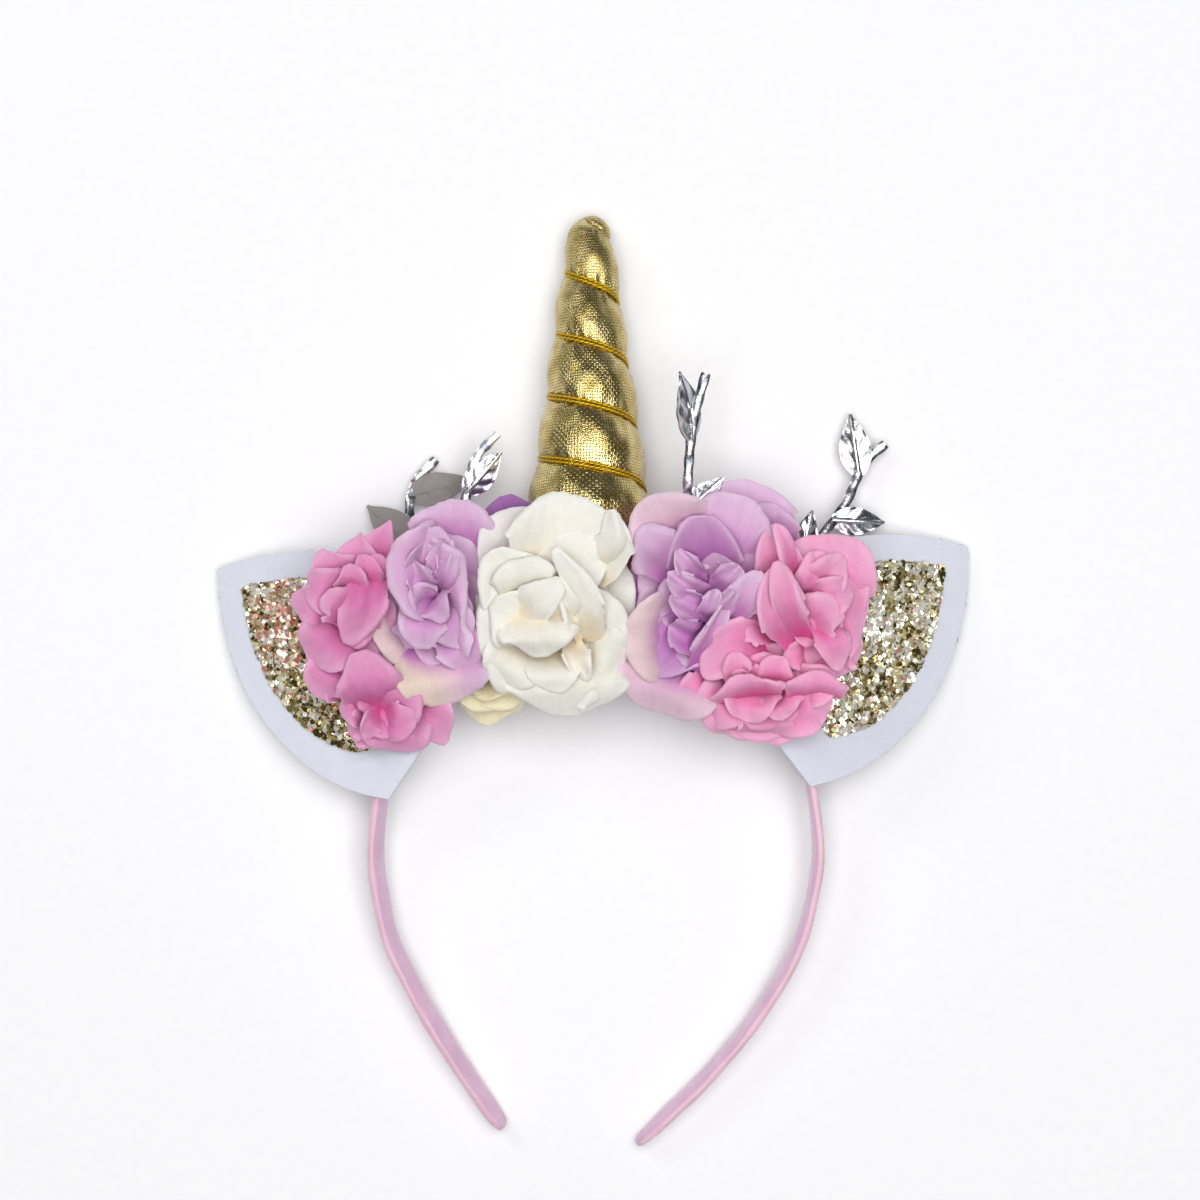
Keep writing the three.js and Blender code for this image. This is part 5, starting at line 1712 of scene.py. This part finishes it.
PURPLE_FRONT = [
    Petal(((-22, 92, 0), (-25, 98, 6), (-26, 102, 5)), (7, 9, 8), lip=0.8),
]

REAR_LILAC_FRONT = [
    Petal(((42, 88, 0), (40, 100, 6), (39, 106, 6)), (9, 15, 14), lip=1.7),
    Petal(((48, 88, 2), (47, 96, 8), (47, 100, 8)), (7, 9, 8), lip=1.3, shade=0.3),
    Petal(((13, 84, 0), (11, 88, 3), (10, 93, 3)), (2.4, 3.4, 2.4), lip=0.8, shade=0.2),
]


@dataclass
class Bloom:
    """One cloth flower on the front of the strip or on an ear."""

    node: str
    petals: list[Petal]
    cloth: PetalCloth
    at: Point
    far: float
    tall: float
    seed: int
    behind: float = 5.5
    columns: int = 32
    rows: int = 22
    thickness: float = 0.22

    def under(self) -> list[Petal]:
        """The petals behind the front ones.

        Returns:
            Petals round the bloom's own axis.
        """
        turned = 9 * self.seed
        back = whorl(5, self.far, 20 + turned, (0.0, 4.5, 6.0), 0.75, self.tall)
        # The inner whorl takes the heart's colour: partly dye, partly painted shade deep in the bloom.
        front = whorl(4, self.far * 0.65, 40 + turned, (1.0, 7.0, 10.0), 0.8, self.tall, shade=0.5)
        return back + front

    def place(self) -> np.ndarray:
        """The matrix from the frame of the petals behind to the hoop."""
        return shift(self.at[0], self.at[1], self.behind)

    def add_petals(
        self, skin: Skin, petals: list[Petal], place: np.ndarray, detail: float, seed: int,
    ) -> None:
        """Adds petals to the bloom's mesh.

        Args:
            skin: The mesh.
            petals: What to add.
            place: Takes them to the hoop's frame.
            detail: Share of the full number of faces each way.
            seed: Chooses how their cloth falls.
        """
        columns, rows = round(self.columns * detail), round(self.rows * detail)
        for number, petal in enumerate(petals):
            points, flat, t = petal.grid(seed + 10 * number, columns, rows)
            s = np.linspace(-1, 1, columns + 1)[None, :] + 0 * t
            # shade is strongest at the root: the heart's deeper dye there, with painted shade deep in the
            # bloom.
            skin.sheet(
                moved(place, points), self.thickness, flat,
                rim=t, blush=petal.blushed(s, t), shade=np.clip(petal.shade * (1.1 - t * 0.7), 0, 1),
                hem=np.maximum(smooth(0.93, 1.0, t), smooth(0.95, 1.0, np.abs(s))),
            )

    def add_calyx(self, skin: Skin, place: np.ndarray) -> None:
        """Adds the moulded cone that holds the petals, in the bloom's second material.

        Args:
            skin: The mesh.
            place: Takes the cone to the hoop's frame.
        """
        height = np.linspace(0, 1, 9)[:, None]
        angle = np.linspace(0, 2 * math.pi, 24, endpoint=False)[None, :]
        radius = 2.2 + 2.2 * height ** 2 + 0.2 * np.sin(angle * 6)
        up = 5.0 * height - 1.0 + 0 * angle
        rings = np.stack([radius * np.cos(angle), radius * np.sin(angle), up], axis=-1)
        first = len(skin.face_slots)
        skin.tube(moved(place, rings), np.stack([angle * 3 + 0 * height, height * 6 + 0 * angle], axis=-1))
        skin.face_slots[first:] = [1] * (len(skin.face_slots) - first)

    def build(self, calyx: bpy.types.Material) -> bpy.types.Object:
        """Makes the bloom's petals and its calyx.

        Args:
            calyx: The calyx's material.

        Returns:
            The bloom.
        """
        skin = Skin("petals_" + self.node.split("_", 1)[1], self.cloth.slot)
        self.add_petals(skin, self.petals, np.eye(4), 1.0, self.seed * 1000)
        self.add_petals(skin, self.under(), self.place(), 0.6, self.seed * 1000 + 500)
        self.add_calyx(skin, self.place())
        piece = skin.finish(self.cloth.material(), calyx)
        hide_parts(self.node)
        return piece


@dataclass
class RearBloom(Bloom):
    """One bloom on the outer face of the strip, with its face up and out."""

    band: Band = field(default_factory=Band)
    degrees: float = 90.0
    lift: float = 12.0
    front: float = 3.0

    def under(self) -> list[Petal]:
        """All its petals but those that show above the front row.

        Returns:
            Petals round the bloom's own axis.
        """
        back = whorl(5, self.far, 18, (-6.0, -2.0, 0.0), tall=self.tall)
        middle = whorl(4, self.far * 0.8, 50, (-5.0, 1.0, 3.0), tall=self.tall)
        # The innermost whorl takes the heart's colour: partly dye, partly painted shade deep in the bloom.
        return back + middle + whorl(4, self.far * 0.5, 20, (-4.0, 2.0, 4.5), tall=self.tall, shade=0.5)

    def place(self) -> np.ndarray:
        """Where the bloom goes.

        Returns:
            The matrix from the bloom's own frame to the hoop.
        """
        out = self.band.out(self.degrees)
        foot = self.band.oval(self.degrees) + out * (self.band.thickness / 2 + 0.3 + self.lift)
        frame_of = basis(np.array([out[1], -out[0], 0.0]), np.array([0.0, 0.0, -1.0]), out)
        return shift(foot[0], foot[1], self.front) @ frame_of


IVORY = PetalCloth("ivory_petals", "ivory_petal", "f0dab4", "f6efe2", "f8f5ef", "eadfe8")
LILAC = PetalCloth("lilac_petals", "lilac_petal", "b05cae", "d698cb", "e6c3e0", "f6dccb")
PURPLE = PetalCloth("purple_petals", "purple_petal", "6f3a7c", "8a5496", "a06cae", "a86bb2")
RIGHT_PINK = PetalCloth("bright_pink_petals", "pink_petal", "de3f8c", "ee8abb", "f6b2d3", "f7c2dc")
LEFT_PINK = PetalCloth("rose_pink_petals", "pink_petal", "d14490", "dc7fb3", "eaa8cc", "f0c4b4")
CREAM = PetalCloth("cream_petals", "cream_petal", "e2c98e", "f2e3b8", "f6ecc9", "f3dcc8")


def blooms(band: Band) -> list[Bloom]:
    """The whole row of blooms.

    Args:
        band: The strip that they stand on.

    Returns:
        The blooms, front ones first.
    """
    return [
        Bloom("rose_white", WHITE_ROSE, IVORY, (-11.5, 71.5, 0), 23, 1.22, 1),
        Bloom("blossom_pink_right_upper", RIGHT_UPPER_BLOSSOM, RIGHT_PINK, (60, 72, 0), 13, 1.3, 2, 6.5),
        Bloom("blossom_pink_right_lower", RIGHT_LOWER_BLOSSOM, RIGHT_PINK, (46.5, 48, 0), 17, 0.8, 3, 6.5),
        Bloom("rose_lilac_right", RIGHT_LILAC_ROSE, LILAC, (29, 72, 0), 19, 1.4, 4),
        Bloom("rose_lilac_left", LEFT_LILAC_ROSE, LILAC, (-44, 72, 0), 15, 1.6, 5),
        Bloom("blossom_pink_left_upper", LEFT_UPPER_BLOSSOM, LEFT_PINK, (-66, 71, 0), 10.5, 1.3, 6, 6.5),
        Bloom("blossom_pink_left_lower", LEFT_LOWER_BLOSSOM, LEFT_PINK, (-58, 48, 0), 12, 1.1, 7, 6.5),
        Bloom("blossom_cream", CREAM_BUD, CREAM, (-30, 55, 0), 13, 1.0, 8, 4.6),
        RearBloom(
            "bloom_purple_rear", PURPLE_FRONT, PURPLE, (0, 0, 0), 15, 0.6, 9,
            band=band, degrees=108,
        ),
        RearBloom(
            "bloom_lilac_rear", REAR_LILAC_FRONT, LILAC, (0, 0, 0), 22, 0.5, 10,
            band=band, degrees=60, lift=14,
        ),
    ]


# The sprigs

@dataclass(frozen=True)
class Leaf:
    """One leaf: its share along the stem, the side it leaves to, its angle, its roll and its size.

    A turned leaf shows its cloth back.
    """

    at: float
    side: int
    angle: float
    roll: float
    size: float
    turned: bool = False


@dataclass
class Sprig:
    """A stem with leaves, stamped from foil-faced cloth."""

    node: str
    band: Band
    stand: tuple[float, float]
    route: list[tuple[float, float, float]]
    leaves: list[Leaf]
    on_floor: bool
    seed: int
    stem_width: float = 2.4
    thickness: float = 0.9
    leaf_length: float = 15.5
    leaf_width: float = 7.6
    stem_steps: tuple[int, int] = (120, 13)
    leaf_steps: tuple[int, int] = (56, 37)

    def path(self) -> Line:
        """The stem's middle line.

        Returns:
            A line from the strip's outer face to the end of the stem.
        """
        degrees, front = self.stand
        foot = self.band.oval(degrees) + self.band.out(degrees) * self.band.thickness / 2
        rest = [(x, y, LYING.floor(y) + z if self.on_floor else z) for x, y, z in self.route]
        return Line(through(np.array([(foot[0], foot[1], front), *rest])))

    def stem(self, skin: Skin, line: Line) -> None:
        """Adds the stem, with a raised middle and small knots.

        Args:
            skin: The sprig's mesh.
            line: The stem's middle line.
        """
        up = np.linspace(0, 1, self.stem_steps[0])
        along = line.along(up)
        side = unit(np.cross(along, np.array([0.0, 0.0, 1.0])))
        facing = np.cross(side, along)
        across = np.linspace(-1, 1, self.stem_steps[1])
        knots = 1 + 0.1 * np.sin(up * line.length * 1.1 + self.seed)
        half = (self.stem_width / 2 * knots)[:, None, None]
        grid = line.at(up)[:, None] + side[:, None] * across[None, :, None] * half
        lumps = waves(grid, 2.0, self.seed)
        relief = 0.34 * (1 - across[None, :] ** 2) + 0.07 * lumps
        grid = grid + facing[:, None] * relief[..., None]
        run = up[:, None] * line.length + 0 * across[None, :]
        flat = np.stack([across[None, :] * half[..., 0], run], axis=-1)
        # relief here is painted light on the foil: lighter on the tops of the lumps, darker between them.
        skin.sheet(grid, self.thickness * 0.7, flat, back=1, relief=np.clip(0.5 + lumps * 0.5, 0, 1))

    def leaf(self, skin: Skin, line: Line, leaf: Leaf, number: int) -> None:
        """Adds one leaf with its rib and veins.

        Args:
            skin: The sprig's mesh.
            line: The stem's middle line.
            leaf: The leaf.
            number: Counts the leaves, for their differences.
        """
        along = line.along(leaf.at)[0]
        side = unit(np.cross(along, np.array([0.0, 0.0, 1.0])))
        up = unit(np.cross(side, along))
        swing = math.radians(-leaf.side * leaf.angle)
        rib = along * math.cos(swing) + np.cross(up, along) * math.sin(swing)
        roll = math.radians(leaf.roll)
        normal = up * math.cos(roll) + np.cross(rib, up) * math.sin(roll)
        across_way = unit(np.cross(rib, normal))
        foot = line.at(leaf.at)[0] - rib * self.stem_width * 0.3
        long, wide = self.leaf_length * leaf.size, self.leaf_width * leaf.size
        t = np.linspace(0, 1, self.leaf_steps[0])[:, None]
        s = np.linspace(-1, 1, self.leaf_steps[1])[None, :]
        half = wide / 2 * np.sin(math.pi * np.minimum(0.985, 0.05 + 0.95 * t) ** 0.8) + 0.22
        bend = 0.06 * long * np.sin(math.pi * t) - 0.12 * np.abs(s) * half
        veins = np.sin((t * 3.6 - np.abs(s) * 0.9) * 2 * math.pi)
        rib_line = np.exp(-((s * half / 0.42) ** 2))
        relief = 0.13 * veins * (1 - rib_line) * np.sin(math.pi * t) + 0.5 * rib_line * (1 - t * 0.6)
        edge = 0.22 * smooth(0.8, 1.0, np.abs(s)) * np.sin(math.pi * t)
        cloth = np.stack([s * half, t * long + 0 * s], axis=-1)
        crinkle = 0.035 * waves(cloth, 2.4, self.seed * 10 + number)
        offset = bend + relief + edge + crinkle + 0.5 * waves(cloth, 7.0, self.seed * 10 + number + 5) * t
        grid = foot + rib * (t * long + 0 * s)[..., None] + across_way * (s * half)[..., None]
        grid = grid + normal * offset[..., None]
        # shown is painted light on the foil: bright on the raised rib and veins, dark in the grooves between
        # them.
        shown = np.clip(0.5 + relief * 1.4 + crinkle, 0, 1)
        first = len(skin.face_slots)
        skin.sheet(grid, self.thickness * 0.6, cloth, back=1, relief=shown)
        if leaf.turned:
            skin.face_slots[first:] = [1 - slot for slot in skin.face_slots[first:]]

    def build(self, front: bpy.types.Material, back: bpy.types.Material) -> bpy.types.Object:
        """Makes the sprig.

        Args:
            front: The foil.
            back: The cloth behind it.

        Returns:
            The sprig.
        """
        skin = Skin(self.node.replace("sprig", "leaves"), "silver_leaf")
        line = self.path()
        self.stem(skin, line)
        for number, leaf in enumerate(self.leaves):
            self.leaf(skin, line, leaf, number)
        piece = skin.finish(front, back)
        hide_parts(self.node)
        return piece


def sprigs(band: Band) -> list[Sprig]:
    """All the sprigs.

    Args:
        band: The strip that they are glued to.

    Returns:
        The sprigs.
    """
    return [
        Sprig(
            "sprig_right_outer", band, (52, -2.4),
            [(58, 84, 13), (70, 98, 8), (76, 110, 5), (82, 115.5, 4.6)],
            [Leaf(0.62, 1, 52, 12, 1.0), Leaf(0.84, -1, 32, -15, 1.15), Leaf(0.4, -1, 26, 10, 1.0)],
            True, 31,
        ),
        Sprig(
            "sprig_right_inner", band, (67, 3),
            [(25, 90, 5.2), (25.2, 107, 6), (26.6, 123, 7.5), (30, 136.5, 9)],
            [Leaf(0.4, 1, 46, -20, 0.95), Leaf(0.72, -1, 16, 50, 1.25)],
            False, 32,
        ),
        Sprig(
            "sprig_left_inner", band, (121, -2),
            [(-37, 84, -4.5), (-37, 100, -6), (-34, 112, -7), (-28, 119, -7.5)],
            [Leaf(0.66, 1, 32, 10, 1.0), Leaf(0.5, 1, 74, 20, 0.85)],
            False, 33,
        ),
        Sprig(
            "sprig_left_outer", band, (128, -2.5),
            [(-48, 80, 13.2), (-53, 93, 7.6), (-52, 104, 3.6), (-46, 111, 2.4)],
            [
                Leaf(0.5, -1, 26, -12, 1.35, True), Leaf(0.78, 1, 62, 14, 1.15, True),
                Leaf(0.36, 1, 10, 8, 0.9),
            ],
            True, 34,
        ),
    ]


# The studio

@dataclass(frozen=True)
class AreaLight:
    """A soft square light: its name, its place and its side in metres, and its power in watts."""

    name: str
    at: tuple[float, float, float]
    size: float
    power: float

    def build(self, facing: tuple[float, float, float]) -> None:
        """Makes the light.

        Args:
            facing: The place that it faces, in metres.
        """
        data = bpy.data.lights.new(self.name, "AREA")
        data.shape = "SQUARE"
        data.size = self.size
        data.energy = self.power
        light = bpy.data.objects.new(self.name, data)
        light.location = self.at
        away = np.array(self.at) - np.array(facing)
        across = math.atan2(away[0], away[2])
        light.rotation_euler = (-math.atan2(away[1], math.hypot(away[0], away[2])), across, 0)
        bpy.context.scene.collection.objects.link(light)


@dataclass(frozen=True)
class Studio:
    """A pale floor, soft light from above and the photograph's camera.

    frame_width is the tangent of half the camera's angle, and sky the light's strength at heights of the sky.
    """

    floor: str = "fbfbfc"
    floor_grain: str = "f6f6f8"
    camera_at: tuple[float, float, float] = (0.00201, 0.023, 0.9195)
    frame_width: float = 0.18667
    sky: tuple[tuple[float, float], ...] = ((0.0, 0.16), (0.4, 0.05), (0.8, 0.05), (0.97, 0.9))
    floor_half: float = 3.0
    floor_under: float = -0.0001
    lights_face: tuple[float, float, float] = (0.0, 0.02, 0.0)
    lights: tuple[AreaLight, ...] = (
        AreaLight("overhead", (0.1, 0.08, 1.5), 1.3, 20.0),
        AreaLight("upper_left", (-0.9, 0.8, 1.0), 0.5, 3.0),
    )

    def build_floor(self) -> None:
        """Makes the floor."""
        mesh = bpy.data.meshes.new("floor")
        edge, under = self.floor_half, self.floor_under
        corners = [(-edge, -edge, under), (edge, -edge, under), (edge, edge, under), (-edge, edge, under)]
        mesh.from_pydata(corners, [], [(0, 1, 2, 3)])
        material, nodes, shader = new_material("floor_paper")
        grain = nodes.noise(300.0)
        feed(
            nodes, shader, Roughness=0.9, Specular_IOR_Level=0.1,
            Base_Color=nodes.blend(grain, ink(self.floor), ink(self.floor_grain)),
            Normal=nodes.bump(grain, 0.02, 0.0002),
        )
        mesh.materials.append(material)
        floor = bpy.data.objects.new("floor", mesh)
        bpy.context.scene.collection.objects.link(floor)
        floor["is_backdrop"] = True

    def build_camera(self) -> None:
        """Makes the camera, straight above and looking down."""
        data = bpy.data.cameras.new("camera")
        data.sensor_fit = "HORIZONTAL"
        data.angle = 2 * math.atan(self.frame_width)
        data.clip_start = 0.01
        camera = bpy.data.objects.new("camera", data)
        camera.location = self.camera_at
        bpy.context.scene.collection.objects.link(camera)
        bpy.context.scene.camera = camera

    def build_light(self) -> None:
        """Makes the lights and the pale sky, bright overhead and dim at the sides."""
        for light in self.lights:
            light.build(self.lights_face)
        world = bpy.data.worlds.new("sky")
        world.use_nodes = True
        world.node_tree.nodes.clear()
        nodes = Nodes(world.node_tree)
        way = nodes.place("ShaderNodeTexCoord").outputs["Generated"]
        height = nodes.place("ShaderNodeSeparateXYZ", {0: way}).outputs[2]
        colour = nodes.ramp(height, [(at, ink("ffffff", level)) for at, level in self.sky])
        background = nodes.place("ShaderNodeBackground", {"Color": colour, "Strength": 1.0})
        nodes.place("ShaderNodeOutputWorld", {"Surface": background.outputs[0]})
        bpy.context.scene.world = world
        bpy.context.scene.view_settings.view_transform = "Standard"

    def build(self) -> None:
        """Makes the floor, the camera and the light."""
        self.build_floor()
        self.build_camera()
        self.build_light()
        LOG.info("studio: camera %.3f m above the floor", self.camera_at[2])


def main() -> None:
    """Builds every sub-assembly in order."""
    logging.basicConfig(level=logging.INFO, format="%(message)s", stream=sys.stdout)
    Studio().build()
    band = Band()
    band.build()
    horn = Horn()
    horn.build()
    HornCord(horn).build()
    felt, glitter = Felt().material(), Glitter()
    flakes, ground = glitter.material(), glitter.ground()
    ears = (
        Ear(band, Side.RIGHT, 36, 7.5, 36.9, 22, 0.03, 41),
        Ear(band, Side.LEFT, 34, 9, 33.5, 20, 0.09, 51),
    )
    for ear in ears:
        ear.build_felt(felt)
        ear.build_glitter(flakes, ground)
    calyx = Calyx().material()
    for bloom in blooms(band):
        bloom.build(calyx)
    foil = Foil()
    front, back = foil.front(), foil.back()
    for sprig in sprigs(band):
        sprig.build(front, back)
    sizes = {"cad": CAD_BOX, "visual": [list(corner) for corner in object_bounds()]}
    corners = zip(sizes["visual"], sizes["cad"])
    past = [[round((own - cad) / METRES, 2) for own, cad in zip(*pair)] for pair in corners]
    LOG.info("past the solids' box, in millimetres: %s", past)


if __name__ == "__main__":
    main()
